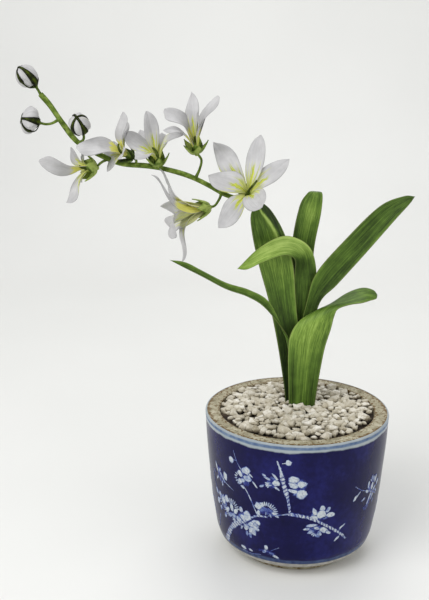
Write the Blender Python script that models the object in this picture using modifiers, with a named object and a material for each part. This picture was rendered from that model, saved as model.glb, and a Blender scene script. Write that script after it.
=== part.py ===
"""A freesia in a blue-and-white pot, with a gravel top.

Blender units are metres and +Z is up. Sizes below are in millimetres and become metres in place().
The origin is on the pot's axis, at the surface that the pot stands on. The flower stem arches to -X.
"""
import math
import random

import bmesh
import bpy
from mathutils import Vector

MM = 0.001
GAP = 0.3

# Pot: a thick turned wall with a flat rim and a small turned foot
POT_HEIGHT = 100.4
RIM_RADIUS = 62.5
RIM_WIDTH = 10.0
FOOT_RADIUS = 40.2
FOOT_HEIGHT = 4.4
FLOOR_THICKNESS = 12.0
POT_STEPS = 40

# Outer side of the pot, from the rim down to the foot: radius and height
POT_SIDE = [(61.5, 80.0), (59.8, 60.0), (57.8, 40.0), (54.9, 20.0), (53.5, 14.5), (51.6, 10.0),
            (48.0, 6.8), (44.0, 5.2), (FOOT_RADIUS + 1.2, FOOT_HEIGHT)]
# Inner side of the pot, from the floor up: radius and height
POT_INSIDE = [(34.0, FLOOR_THICKNESS), (43.0, 20.0), (48.5, 40.0), (51.0, 70.0)]
MOUTH_RADIUS = RIM_RADIUS - RIM_WIDTH
BEVEL = 1.2

# Filling
SOIL_TOP = 88.0
BED_EDGE_TOP = 97.6
BED_CENTRE_TOP = 102.2
BED_RINGS = (18.0, 35.0)
STONE_COUNT = 86
STONE_RADIUS = (3.9, 5.8)
STONE_CORNERS = 8
STONE_STRETCH = ((0.9, 1.2), (0.75, 1.0), (0.6, 0.85))
STONE_WALL_ROOM = 1.15
STONE_SHIFT = 0.7
GOLDEN_ANGLE = math.pi * (3 - math.sqrt(5))
ROOT_BOTTOM = 80.0

# Blades
LEAF_THICKNESS = 1.0
PETAL_THICKNESS = 0.8
SEPAL_THICKNESS = 0.7

# Leaves: pairs of points on the left and right margin, from the root up to the tip
LEAVES = {
    "leaf_1": {"cup": -0.07, "margins": [
        ((-7.5, 6, ROOT_BOTTOM), (3, 6.5, ROOT_BOTTOM)), ((-7.5, 6, 104), (3, 6.5, 104)),
        ((-11, 6, 130), (2.5, 7, 130)), ((-15.5, 5.5, 155), (1, 7, 151)),
        ((-20.5, 5, 177), (-1.5, 7, 173)), ((-27.5, 4, 202), (-5, 6, 199)),
        ((-32, 2.5, 223), (-10, 5, 220)), ((-32.5, 2.5, 235), (-19, 4, 236)),
        ((-27, 4, 243), (-27, 4, 243))]},
    "leaf_2": {"cup": -0.08, "margins": [
        ((-2, 21, ROOT_BOTTOM), (8, 21, ROOT_BOTTOM)), ((-2, 21, 104), (8, 21, 104)),
        ((-4, 21, 150), (9, 21, 150)), ((-4.5, 21, 180), (10, 22, 180)),
        ((-4, 20.5, 211), (11.3, 21.5, 208)), ((0.3, 20, 236), (15, 21, 231)),
        ((5.2, 22, 244.5), (16, 23, 243.5)), ((9, 27, 245.5), (14.5, 28, 245)),
        ((13, 33, 243), (13, 33, 243))]},
    "leaf_3": {"cup": -0.05, "margins": [
        ((-3.5, 13, ROOT_BOTTOM), (8, 13, ROOT_BOTTOM)), ((-3.5, 13, 104), (8.5, 13, 104)),
        ((-3.8, 14, 152), (10.3, 14, 152)), ((-3, 14, 178), (12.2, 14.5, 178)),
        ((-2.5, 11, 194), (12, 13.5, 196)), ((-3.5, 4, 204), (7, 8, 211)),
        ((-11, -4, 208.5), (-4, 3, 219)), ((-24, -9, 205.5), (-15, -2, 220)),
        ((-35, -11, 200.8), (-29, -8, 213)), ((-41.5, -12, 201.3), (-41.5, -12, 201.3))]},
    "leaf_4": {"cup": -0.1, "margins": [
        ((0.5, 9, ROOT_BOTTOM), (9.5, 9, ROOT_BOTTOM)), ((0.5, 9, 104), (10, 9, 104)),
        ((1.3, 10, 146), (10.5, 10, 143)), ((6.3, 11, 174), (14.5, 11, 171)),
        ((12, 11, 193), (26.5, 9, 186)), ((30.2, 8, 216.5), (43.5, 5.7, 207.5)),
        ((51, 5.5, 238.8), (61, 2, 230.5)), ((66, 3, 246), (69.5, 1, 241)),
        ((72.7, 0, 246.3), (72.7, 0, 246.3))]},
    "leaf_5": {"cup": 0.08, "margins": [
        ((-5, 0, ROOT_BOTTOM), (11.5, 0, ROOT_BOTTOM)), ((-5.5, 0, 104), (12.5, 0, 104)),
        ((-6.7, 0, 138), (17, -1.5, 140)), ((-5.7, 0, 152), (21.2, -3, 158)),
        ((-0.4, 1, 161.5), (23, -4, 167)), ((9, 4.5, 167), (25.5, -4.5, 172.3)),
        ((21, 8.5, 171.8), (33, -4, 175)), ((33, 12, 178.6), (41.5, -2, 175.7)),
        ((44, 12.5, 181.8), (48.5, 3, 176.2)), ((52.7, 8, 177.8), (52.7, 8, 177.8))]},
    "leaf_6": {"cup": 0.1, "margins": [
        ((-4, 3, ROOT_BOTTOM), (3, 3, ROOT_BOTTOM)), ((-4, 3, 104), (3, 3, 104)),
        ((-6, 3, 138), (0, 3, 136)), ((-10.5, 2, 156), (-6, 1.8, 150)),
        ((-20.3, -3, 176.7), (-22.3, -4, 172.2)), ((-33.4, -7, 185.9), (-34.4, -8.5, 181.6)),
        ((-48.5, -11, 191.8), (-48.9, -12.5, 188)), ((-63.4, -15, 200.5), (-63.7, -17, 197.2)),
        ((-74.5, -19, 207.2), (-75.5, -20, 204)), ((-84.6, -22, 209.5), (-84.6, -22, 209.5))]},
}
LEAF_COLUMNS = 4
LEAF_STEPS = 2
SLOT_ROWS = 2 * LEAF_STEPS + 1

# Flower stem: points along its centre, from the root to the last bud's neck
STEM_RADIUS = 1.5
STEM_ROUTE = [(2, 17, ROOT_BOTTOM), (2, 17, 108), (-3, 17.5, 150), (-11, 16, 185), (-18, 13.5, 212),
              (-26, 10, 233), (-36, 6, 242), (-48, 2, 246.7), (-59, 0, 253), (-72, -1.5, 259.5),
              (-85, -3, 263.7), (-98, -5, 266.5), (-115, -7, 268.3), (-128, -9, 274),
              (-141, -11, 281.8), (-149.5, -12.5, 293), (-157, -13, 304.5), (-162.5, -14, 311.4)]
PEDICEL_RADIUS = 0.8

# Blooms: where the petals meet, the way the bloom faces, its pedicel from the stem to that place,
# the reach of its green cup (radius and height) and its petals. A petal has its direction round the
# axis and its spread from the axis in degrees, its length and width, and the outward curl and the
# twist of its outer part in degrees.
BLOOMS = {
    "flower_1": {
        "centre": (-34.6, -3, 248), "faces": (-0.05, -0.93, 0.36), "cup": (8.5, 3.5),
        "pedicel": [(-38, 5.2, 243), (-36.2, 3, 245.4), (-34.7, -0.5, 247.1)],
        "petals": [(81, 74, 38, 14, 12, 0), (127, 76, 37.5, 14, 12, 0), (162, 60, 30, 14, 10, 0),
                   (-130, 66, 33, 14, 14, 0), (-62, 40, 28, 17, 25, 0), (42, 76, 34, 14, 10, 0)]},
    "flower_2": {
        "centre": (-61, -6, 240), "faces": (-0.92, -0.37, -0.13), "cup": (7, 8.5),
        "pedicel": [(-51.9, 0.5, 248), (-53.2, -0.5, 244.7), (-56, -3, 241), (-59.5, -5.4, 240.2)],
        "petals": [(123, 56, 39, 11, 30, 40), (98, 40, 41, 9, 35, 50), (50, 22, 33, 12, 10, 0),
                   (-157, 38, 33, 12, 10, 0), (-72, 29, 32, 12, 15, -50), (-92, 56, 37.5, 11, 30, -60)]},
    "flower_3": {
        "centre": (-68, -4, 276), "faces": (-0.1, -0.3, 0.95), "cup": (7.5, 9),
        "pedicel": [(-68.3, -1, 258.5), (-65.8, -1.5, 264), (-64.6, -2.8, 270), (-67.5, -3.7, 274.6)],
        "petals": [(-168, 38, 35, 14, 27, -40), (105, 22, 36.5, 13, 8, 0), (-133, 47, 30.5, 10, 37, -50),
                   (-10, 24, 28, 9, 5, 80), (40, 29, 37, 12, 5, 20), (88, 48, 34, 12, 10, 0)]},
    "flower_4": {
        "centre": (-92, -5, 268.2), "faces": (-0.1, -0.25, 0.96), "cup": (7, 4.5),
        "pedicel": [(-92.3, -4.4, 264.8), (-92.2, -4.7, 266.8)],
        "petals": [(130, 20, 34, 14, 5, 0), (102, 58, 24, 12, 10, 0), (35, 51, 26, 11, 25, 40),
                   (-171, 47, 28, 16, 27, -30), (-108, 63, 29.5, 12, 10, 0), (140, 52, 27, 11, 10, 0)]},
    "flower_5": {
        "centre": (-109, -8, 273), "faces": (-0.8, -0.4, 0.45), "cup": (7, 4.5),
        "pedicel": [(-106.4, -6, 266.8), (-105.6, -6, 270), (-107.8, -7.4, 272.3)],
        "petals": [(98, 57, 28, 11, 5, 40), (-125, 17, 37, 15, 10, 0), (-82, 57, 21, 11, 20, -50),
                   (-175, 64, 28, 12, 10, 0), (140, 64, 25, 11, 10, 0), (10, 60, 20, 10, 15, 0)]},
    "flower_6": {
        "centre": (-132, -11, 266), "faces": (-0.93, -0.3, 0.05), "cup": (7, 4.5),
        "pedicel": [(-122.5, -8.3, 271.4), (-127, -9.6, 269.4), (-130.6, -10.5, 266.2)],
        "petals": [(140, 12, 35.5, 14, -5, 50), (128, 58, 24, 10, 5, 20), (-88, 54, 29, 12, -30, -60),
                   (-175, 40, 30, 11, 10, 0), (-140, 62, 26, 10, 10, 0), (172, 62, 24, 10, 10, 0)]},
}
SEPAL_COUNT = 5
SEPAL_START = 18
SEPAL_WIDTH = 4.4
PETAL_FOLD = 0.5
SEPAL_FOLD = 0.4
CUP_RADIUS = 2.8
THROAT_RADIUS = (2.6, 0.8)
THROAT_HEIGHT = 10.0

# Petal and sepal outlines: place along the blade, and share of its full width
PETAL_OUTLINE = [(0.0, 0.2), (0.22, 0.34), (0.42, 0.78), (0.62, 1.0), (0.8, 0.8), (0.92, 0.42), (1.0, 0.0)]
SEPAL_OUTLINE = [(0.0, 0.3), (0.4, 1.0), (0.75, 0.7), (1.0, 0.0)]

# Buds: where the bud meets its stalk, the way it points, its length and radius, and its pedicel
BUDS = {
    "bud_1": {"base": (-165.7, -14, 316.4), "faces": (-0.62, -0.2, 0.76), "length": 15, "radius": 6.2,
              "pedicel": [(-162, -14, 310.6), (-164, -14, 314), (-165.3, -14, 315.9)]},
    "bud_2": {"base": (-164.2, -13, 293.8), "faces": (-0.85, -0.4, 0.33), "length": 13, "radius": 8.2,
              "pedicel": [(-151.8, -12.8, 296.2), (-156, -13, 293.9), (-160, -13, 293.2),
                          (-163.6, -13, 293.7)]},
    "bud_3": {"base": (-138.2, -12.3, 288.8), "faces": (-0.3, -0.72, 0.62), "length": 14, "radius": 6.5,
              "pedicel": [(-141, -11, 281.8), (-138.2, -11.5, 283), (-137.2, -12, 285.4),
                          (-138, -12.2, 288.2)]},
}
BUD_SEPAL_WIDTH = 2.2
BUD_SEPAL_REACH = 0.86
BUD_SEPAL_STEPS = 4
BUD_SEPAL_GAP = 0.48
BUD_CUP_RADIUS = 2.0


def clear_scene():
    for item in list(bpy.data.objects):
        bpy.data.objects.remove(item, do_unlink=True)


def new_collection(name):
    collection = bpy.data.collections.new(name)
    bpy.context.scene.collection.children.link(collection)
    return collection


def new_material(name, colour, roughness):
    material = bpy.data.materials.new(name)
    material.use_nodes = True
    shader = material.node_tree.nodes["Principled BSDF"]
    shader.inputs["Base Color"].default_value = (*colour, 1.0)
    shader.inputs["Roughness"].default_value = roughness
    shader.inputs["Metallic"].default_value = 0.0
    return material


def place(point):
    """A point in millimetres as a vector in metres."""
    return Vector(point) * MM


def mesh_object(name, mesh, collection):
    item = bpy.data.objects.new(name, mesh)
    collection.objects.link(item)
    return item


def from_bmesh(name, shape, collection):
    mesh = bpy.data.meshes.new(name)
    shape.to_mesh(mesh)
    shape.free()
    return mesh_object(name, mesh, collection)


def apply_modifiers(item):
    """Replace the object's mesh by the one that its modifiers make."""
    graph = bpy.context.evaluated_depsgraph_get()
    item.data = bpy.data.meshes.new_from_object(item.evaluated_get(graph))
    item.modifiers.clear()


def keep_largest_body(item):
    """Drop loose scraps that a union or a cut leaves beside the main body."""
    shape = bmesh.new()
    shape.from_mesh(item.data)
    left = set(shape.verts)
    bodies = []
    while left:
        front = [left.pop()]
        body = set(front)
        while front:
            for edge in front.pop().link_edges:
                for vertex in edge.verts:
                    if vertex in left:
                        left.remove(vertex)
                        body.add(vertex)
                        front.append(vertex)
        bodies.append(body)
    largest = max(bodies, key=len)
    scraps = [vertex for body in bodies if body is not largest for vertex in body]
    bmesh.ops.delete(shape, geom=scraps, context="VERTS")
    shape.to_mesh(item.data)
    shape.free()


def combine(item, pieces, operation, solver="EXACT"):
    """Join the pieces to the object, or cut it by them, as one applied Boolean, and remove them."""
    group = new_collection(item.name + "_pieces")
    for piece in pieces:
        for owner in list(piece.users_collection):
            owner.objects.unlink(piece)
        group.objects.link(piece)
    boolean = item.modifiers.new("combine", "BOOLEAN")
    boolean.operation = operation
    boolean.operand_type = "COLLECTION"
    boolean.collection = group
    boolean.solver = solver
    apply_modifiers(item)
    for piece in pieces:
        bpy.data.objects.remove(piece, do_unlink=True)
    bpy.data.collections.remove(group)
    keep_largest_body(item)


def finish_part(item, material, smooth_angle):
    item.data.materials.clear()
    item.data.materials.append(material)
    item.data.shade_smooth()
    item.data.set_sharp_from_angle(angle=math.radians(smooth_angle))


def smooth_curve(points, steps):
    """Points on a smooth curve through the given ones, with the same number of steps in each span."""
    result = []
    last = len(points) - 1
    for span in range(last):
        start, end = points[span], points[span + 1]
        before = points[span - 1] if span else start * 2 - end
        after = points[span + 2] if span + 2 <= last else end * 2 - start
        for step in range(steps):
            u = step / steps
            result.append(0.5 * (2 * start + (end - before) * u
                                 + (2 * before - 5 * start + 4 * end - after) * u ** 2
                                 + (3 * start - before - 3 * end + after) * u ** 3))
    result.append(points[last])
    return result


def blade(name, rows, thickness, collection):
    """A thin closed blade from rows of points across it, listed from its root to its tip."""
    shape = bmesh.new()
    grid = [[shape.verts.new(place(point)) for point in row] for row in rows]
    columns = len(rows[0]) - 1
    for low, high in zip(grid, grid[1:]):
        for column in range(columns):
            a, b, c, d = low[column], low[column + 1], high[column + 1], high[column]
            if column < columns / 2:
                shape.faces.new((a, b, d))
                shape.faces.new((b, c, d))
            else:
                shape.faces.new((a, b, c))
                shape.faces.new((a, c, d))
    bmesh.ops.remove_doubles(shape, verts=shape.verts, dist=0.01 * MM)
    item = from_bmesh(name, shape, collection)
    solidify = item.modifiers.new("thickness", "SOLIDIFY")
    solidify.thickness = thickness * MM
    solidify.offset = 0.0
    return item


def tube(name, route, radius, steps, sides, collection):
    """A round tube along a smooth route, made a mesh with its end caps welded."""
    curve = bpy.data.curves.new(name, "CURVE")
    curve.dimensions = "3D"
    curve.bevel_depth = radius * MM
    curve.bevel_resolution = sides
    curve.use_fill_caps = True
    points = smooth_curve([place(point) for point in route], steps)
    spline = curve.splines.new("POLY")
    spline.points.add(len(points) - 1)
    for target, point in zip(spline.points, points):
        target.co = (*point, 1.0)
    source = mesh_object(name + "_curve", curve, collection)
    graph = bpy.context.evaluated_depsgraph_get()
    mesh = bpy.data.meshes.new_from_object(source.evaluated_get(graph))
    item = mesh_object(name, mesh, collection)
    item.matrix_world = source.matrix_world
    bpy.data.objects.remove(source, do_unlink=True)
    shape = bmesh.new()
    shape.from_mesh(mesh)
    bmesh.ops.remove_doubles(shape, verts=shape.verts, dist=0.001 * MM)
    shape.to_mesh(mesh)
    shape.free()
    return item


def frame_of(faces):
    """The axis that a bloom or bud faces along, and two directions square to it."""
    axis = Vector(faces).normalized()
    across = Vector((0, 0, 1)).cross(axis).normalized()
    return axis, across, axis.cross(across)


def cone(name, base, faces, low, high, sides, collection):
    """A closed cone piece along an axis; low and high are its ends as height and radius."""
    axis = Vector(faces).normalized()
    shape = bmesh.new()
    bmesh.ops.create_cone(shape, cap_ends=True, segments=sides, radius1=low[1] * MM,
                          radius2=high[1] * MM, depth=(high[0] - low[0]) * MM)
    item = from_bmesh(name, shape, collection)
    item.rotation_mode = "QUATERNION"
    item.rotation_quaternion = axis.to_track_quat("Z", "Y")
    item.location = place(Vector(base) + axis * (low[0] + high[0]) / 2)
    return item


def bezier(controls, t):
    """A point and the direction on a cubic curve; both are (radius, height) pairs."""
    a, b, c, d = [Vector(control) for control in controls]
    s = 1 - t
    point = a * s ** 3 + b * 3 * s * s * t + c * 3 * s * t * t + d * t ** 3
    direction = (b - a) * s * s + (c - b) * 2 * s * t + (d - c) * t * t
    return point, direction.normalized()


def spread_rows(base, faces, azimuth, controls, outline, width, cup, twist):
    """Rows across a petal or sepal that leaves an axis along a curve in the plane of its azimuth."""
    axis, across, up = frame_of(faces)
    turn = math.radians(azimuth)
    outward = across * math.cos(turn) + up * math.sin(turn)
    side = axis.cross(outward)
    rows = []
    for t, share in outline:
        (radius, height), (run, rise) = bezier(controls, t)
        centre = Vector(base) + outward * radius + axis * height
        inward = axis * run - outward * rise
        half = width * share / 2
        roll = math.radians(twist) * t * t
        to_side = side * math.cos(roll) + inward * math.sin(roll)
        to_inside = inward * math.cos(roll) - side * math.sin(roll)
        fold = to_inside * cup * (1 - t) * half
        rows.append([centre - to_side * half + fold, centre, centre + to_side * half + fold])
    return rows


def petal_rows(bloom, petal):
    azimuth, spread, length, width, curl, twist = petal
    lean = math.radians(spread)
    bend = math.radians(spread + curl)
    tip = Vector((math.sin(lean), math.cos(lean))) * length
    shoulder = tip - Vector((math.sin(bend), math.cos(bend))) * length * 0.4
    controls = [(1.0, 1.5), (2.6, 9.5), shoulder, tip]
    return spread_rows(bloom["centre"], bloom["faces"], azimuth, controls, PETAL_OUTLINE, width,
                       PETAL_FOLD, twist)


def make_pot(parts):
    """The pot is one profile turned about its axis: up its inside, over the rim and down its outside."""
    rim = [(MOUTH_RADIUS, POT_HEIGHT - BEVEL), (MOUTH_RADIUS + BEVEL, POT_HEIGHT),
           (RIM_RADIUS - BEVEL, POT_HEIGHT), (RIM_RADIUS - BEVEL * 0.3, POT_HEIGHT - BEVEL * 0.3),
           (RIM_RADIUS, POT_HEIGHT - BEVEL)]
    foot = [(FOOT_RADIUS, FOOT_HEIGHT - BEVEL), (FOOT_RADIUS, BEVEL / 2), (FOOT_RADIUS - BEVEL / 2, 0)]
    return turned("pot", [(0, FLOOR_THICKNESS)] + POT_INSIDE + rim + POT_SIDE + foot + [(0, 0)], parts)


def turned(name, profile, parts):
    """A solid turned about +Z from points given as radius and height."""
    shape = bmesh.new()
    points = [shape.verts.new(place((radius, 0, height))) for radius, height in profile]
    for start, end in zip(points, points[1:]):
        shape.edges.new((start, end))
    item = from_bmesh(name, shape, parts)
    screw = item.modifiers.new("turn", "SCREW")
    screw.angle = math.tau
    screw.steps = POT_STEPS
    screw.render_steps = POT_STEPS
    screw.use_merge_vertices = True
    screw.merge_threshold = 0.01 * MM
    return item


def inner_radius(height):
    """The radius of the pot's inner wall at a height above its floor."""
    wall = POT_INSIDE + [(MOUTH_RADIUS, POT_HEIGHT - BEVEL)]
    for (r_low, z_low), (r_high, z_high) in zip(wall, wall[1:]):
        if height <= z_high:
            return r_low + (r_high - r_low) * (height - z_low) / (z_high - z_low)
    return MOUTH_RADIUS


def make_soil(parts):
    """The soil fills the pot from its floor to the gravel, a gap short of the wall."""
    wall = [(radius - GAP, height) for radius, height in reversed(POT_INSIDE[1:])]
    profile = [(0, SOIL_TOP), (inner_radius(SOIL_TOP) - GAP, SOIL_TOP)] + wall
    profile += [(POT_INSIDE[0][0] - GAP, FLOOR_THICKNESS + GAP), (0, FLOOR_THICKNESS + GAP)]
    soil = turned("soil", profile, parts)
    apply_modifiers(soil)
    return soil


def bed_height(radius):
    """The gravel lies a little higher in the middle than at the wall."""
    share = min(1.0, radius / MOUTH_RADIUS)
    return BED_EDGE_TOP + (BED_CENTRE_TOP - BED_EDGE_TOP) * (1 - share ** 2)


def stone(index, centre, size, chance, collection):
    """An angular stone: the hull of points scattered on a flattened ball."""
    shape = bmesh.new()
    stretch = [chance.uniform(*limits) for limits in STONE_STRETCH]
    turn = chance.uniform(0, math.tau)
    for corner in range(STONE_CORNERS):
        height = 1 - 2 * (corner + 0.5) / STONE_CORNERS
        ring = math.sqrt(1 - height * height)
        angle = corner * GOLDEN_ANGLE + turn + chance.uniform(-0.3, 0.3)
        reach = size * chance.uniform(0.86, 1.08)
        point = Vector((ring * math.cos(angle) * stretch[0], ring * math.sin(angle) * stretch[1],
                        height * stretch[2])) * reach
        shape.verts.new(place(centre + point))
    bmesh.ops.convex_hull(shape, input=shape.verts)
    loose = [vertex for vertex in shape.verts if not vertex.link_faces]
    bmesh.ops.delete(shape, geom=loose, context="VERTS")
    bmesh.ops.recalc_face_normals(shape, faces=shape.faces)
    return from_bmesh("stone_%d" % index, shape, collection)


def make_gravel(parts, tools):
    """The gravel is a bed of stones set close together in a spiral, sunk into a common base."""
    profile = [(radius, bed_height(radius)) for radius in (0, *BED_RINGS, MOUTH_RADIUS - GAP)]
    profile += [(inner_radius(SOIL_TOP) - GAP, SOIL_TOP + GAP), (0, SOIL_TOP + GAP)]
    bed = turned("gravel", profile, parts)
    apply_modifiers(bed)
    chance = random.Random(11)
    stones = []
    reach = MOUTH_RADIUS - STONE_RADIUS[1] * STONE_WALL_ROOM - GAP
    for index in range(STONE_COUNT):
        radius = reach * math.sqrt((index + 0.5) / STONE_COUNT)
        angle = index * GOLDEN_ANGLE
        size = chance.uniform(*STONE_RADIUS)
        x = radius * math.cos(angle) + chance.uniform(-STONE_SHIFT, STONE_SHIFT)
        y = radius * math.sin(angle) + chance.uniform(-STONE_SHIFT, STONE_SHIFT)
        z = bed_height(math.hypot(x, y)) + chance.uniform(-0.5, 0.3)
        stones.append(stone(index, Vector((x, y, z)), size, chance, tools))
    combine(bed, stones, "UNION")
    return bed


def leaf_rows(leaf, widen):
    """Rows across a leaf between its two margins, hollowed or crowned along its middle."""
    left = smooth_curve([Vector(pair[0]) for pair in leaf["margins"]], LEAF_STEPS)
    right = smooth_curve([Vector(pair[1]) for pair in leaf["margins"]], LEAF_STEPS)
    middle = [(a + b) / 2 for a, b in zip(left, right)]
    rows = []
    last = len(left) - 1
    for i in range(last + 1):
        across = right[i] - left[i]
        along = middle[min(i + 1, last)] - middle[max(i - 1, 0)]
        normal = across.cross(along)
        if normal.length > 0:
            normal.normalize()
        margin = across.normalized() * widen if across.length > 0 else Vector()
        bulge = leaf["cup"] * math.sin(math.pi * i / last) * across.length
        row = []
        for column in range(LEAF_COLUMNS + 1):
            s = column / LEAF_COLUMNS
            point = left[i] - margin + (across + margin * 2) * s
            row.append(point + normal * bulge * 4 * s * (1 - s))
        rows.append(row)
    return rows


def make_leaf(name, leaf, parts):
    item = blade(name, leaf_rows(leaf, 0.0), LEAF_THICKNESS, parts)
    apply_modifiers(item)
    return item


def root_cutters(tools):
    """Slots for the leaf roots and a round hole for the stem, a gap wider than what stands in them."""
    cutters = []
    for name, leaf in LEAVES.items():
        rows = leaf_rows(leaf, GAP)[:SLOT_ROWS]
        rows[0] = [point - Vector((0, 0, GAP)) for point in rows[0]]
        cutters.append(blade(name + "_slot", rows, LEAF_THICKNESS + 2 * GAP, tools))
    route = [Vector(STEM_ROUTE[0]) - Vector((0, 0, GAP))] + [Vector(point) for point in STEM_ROUTE[1:3]]
    cutters.append(tube("stem_hole", route, STEM_RADIUS + GAP, 4, 2, tools))
    return cutters


def make_cup(name, bloom, tools):
    """The green cup under a bloom: a small seat and five pointed sepals."""
    pieces = [cone(name + "_seat", bloom["centre"], bloom["faces"], (-3.0, 1.0), (0.0, CUP_RADIUS), 8, tools)]
    reach, height = bloom["cup"]
    controls = [(1.2, -1.4), (reach * 0.75, -1.2), (reach * 0.9, height * 0.45), (reach, height)]
    for index in range(SEPAL_COUNT):
        azimuth = 360 * index / SEPAL_COUNT + SEPAL_START
        rows = spread_rows(bloom["centre"], bloom["faces"], azimuth, controls, SEPAL_OUTLINE,
                           SEPAL_WIDTH, SEPAL_FOLD, 0)
        pieces.append(blade("%s_sepal_%d" % (name, index), rows, SEPAL_THICKNESS, tools))
    return pieces


def bud_radius(bud, t):
    """The bud's radius at a share of its length: round at the stalk and drawn in at the tip."""
    return bud["radius"] * max(0.0, math.sin(math.pi * t ** 0.85)) ** 0.75


def make_bud_clasp(name, bud, tools):
    """The seat under a bud and the narrow sepals that lie along it."""
    pieces = [cone(name + "_seat", bud["base"], bud["faces"], (-1.8, 0.8), (-0.1, BUD_CUP_RADIUS), 8, tools)]
    axis, across, up = frame_of(bud["faces"])
    offset = BUD_SEPAL_GAP + SEPAL_THICKNESS / 2
    for index in range(SEPAL_COUNT):
        turn = math.tau * (index + 0.25) / SEPAL_COUNT
        outward = across * math.cos(turn) + up * math.sin(turn)
        side = axis.cross(outward)
        rows = []
        for step in range(BUD_SEPAL_STEPS + 1):
            t = step / BUD_SEPAL_STEPS * BUD_SEPAL_REACH
            radius = max(1.2, bud_radius(bud, t) + offset)
            height = bud["length"] * t - 0.9 * (1 - t) ** 4
            centre = Vector(bud["base"]) + outward * radius + axis * height
            half = BUD_SEPAL_WIDTH / 2 * (0.4 if step in (0, BUD_SEPAL_STEPS) else 1.0)
            rows.append([centre - side * half, centre + side * half])
        pieces.append(blade("%s_sepal_%d" % (name, index), rows, SEPAL_THICKNESS, tools))
    return pieces


def make_stem(parts, tools):
    """The stem with its pedicels, cups and bud sepals, which grew as one green body."""
    stem = tube("stem", STEM_ROUTE, STEM_RADIUS, 2, 2, parts)
    pieces = []
    for name, bloom in BLOOMS.items():
        pieces.append(tube(name + "_pedicel", bloom["pedicel"], PEDICEL_RADIUS, 2, 1, tools))
        pieces += make_cup(name, bloom, tools)
    for name, bud in BUDS.items():
        pieces.append(tube(name + "_pedicel", bud["pedicel"], PEDICEL_RADIUS, 2, 1, tools))
        pieces += make_bud_clasp(name, bud, tools)
    combine(stem, pieces, "UNION", "MANIFOLD")
    return stem


def make_bloom(name, bloom, parts, tools):
    """Six petals that meet in a small solid throat, which stands in the green cup."""
    low, high = (GAP, THROAT_RADIUS[0]), (THROAT_HEIGHT, THROAT_RADIUS[1])
    item = cone(name, bloom["centre"], bloom["faces"], low, high, 8, parts)
    pieces = []
    for index, petal in enumerate(bloom["petals"]):
        rows = petal_rows(bloom, petal)
        pieces.append(blade("%s_petal_%d" % (name, index), rows, PETAL_THICKNESS, tools))
    combine(item, pieces, "UNION")
    return item


def make_bud(name, bud, parts):
    """A closed bud: a drawn-in ball with five shallow folds."""
    axis, across, up = frame_of(bud["faces"])
    shape = bmesh.new()
    bmesh.ops.create_uvsphere(shape, u_segments=10, v_segments=8, radius=1.0)
    for vertex in shape.verts:
        angle = math.atan2(vertex.co.y, vertex.co.x)
        t = math.acos(max(-1.0, min(1.0, -vertex.co.z))) / math.pi
        radius = bud_radius(bud, t)
        radius *= 0.97 + 0.03 * math.cos(5 * angle)
        outward = across * math.cos(angle) + up * math.sin(angle)
        height = GAP + (bud["length"] - GAP) * t
        vertex.co = place(Vector(bud["base"]) + outward * radius + axis * height)
    bmesh.ops.recalc_face_normals(shape, faces=shape.faces)
    return from_bmesh(name, shape, parts)


def build():
    clear_scene()
    parts = new_collection("potted_freesia")
    tools = new_collection("cutters")
    glaze = new_material("blue_glaze", (0.02, 0.02, 0.12), 0.2)
    earth = new_material("soil", (0.05, 0.035, 0.02), 0.95)
    rock = new_material("gravel", (0.55, 0.51, 0.43), 0.85)
    leaf_green = new_material("leaf_green", (0.07, 0.18, 0.03), 0.5)
    stem_green = new_material("stem_green", (0.12, 0.23, 0.04), 0.5)
    white = new_material("petal_white", (0.8, 0.79, 0.81), 0.5)

    finish_part(make_pot(parts), glaze, 50)
    soil = make_soil(parts)
    gravel = make_gravel(parts, tools)
    combine(soil, root_cutters(tools), "DIFFERENCE")
    combine(gravel, root_cutters(tools), "DIFFERENCE")
    finish_part(soil, earth, 40)
    finish_part(gravel, rock, 20)
    for name, leaf in LEAVES.items():
        finish_part(make_leaf(name, leaf, parts), leaf_green, 60)
    finish_part(make_stem(parts, tools), stem_green, 50)
    for name, bloom in BLOOMS.items():
        finish_part(make_bloom(name, bloom, parts, tools), white, 50)
    for name, bud in BUDS.items():
        finish_part(make_bud(name, bud, parts), white, 60)
    bpy.data.collections.remove(tools)


build()
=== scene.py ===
import math
import random

import bmesh
import bpy
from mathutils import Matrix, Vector, noise


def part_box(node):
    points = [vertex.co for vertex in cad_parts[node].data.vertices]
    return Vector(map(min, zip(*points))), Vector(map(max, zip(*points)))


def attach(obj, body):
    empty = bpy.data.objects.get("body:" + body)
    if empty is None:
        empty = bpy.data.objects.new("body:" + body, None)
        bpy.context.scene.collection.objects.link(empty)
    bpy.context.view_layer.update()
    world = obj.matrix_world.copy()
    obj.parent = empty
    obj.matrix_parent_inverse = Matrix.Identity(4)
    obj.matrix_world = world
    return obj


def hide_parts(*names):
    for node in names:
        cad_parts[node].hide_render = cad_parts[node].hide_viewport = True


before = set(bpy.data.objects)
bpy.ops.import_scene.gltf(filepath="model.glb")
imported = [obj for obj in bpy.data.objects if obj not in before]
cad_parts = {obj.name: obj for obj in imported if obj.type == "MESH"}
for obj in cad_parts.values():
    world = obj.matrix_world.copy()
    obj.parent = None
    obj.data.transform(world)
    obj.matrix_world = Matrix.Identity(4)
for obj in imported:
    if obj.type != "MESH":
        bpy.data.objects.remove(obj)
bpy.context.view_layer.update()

# The visual model of a freesia in a blue-and-white pot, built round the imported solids.
# Sizes are in millimetres unless stated, and become metres in Shape.point().
MM = 0.001
NO_LENGTH = 1e-6

# Camera, solved from the ellipses of the pot's rim and foot
CAMERA_PLACE = (-0.0563, -0.5862, 0.3392)
CAMERA_PITCH = 15.447
CAMERA_LENS = 55.0

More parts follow.
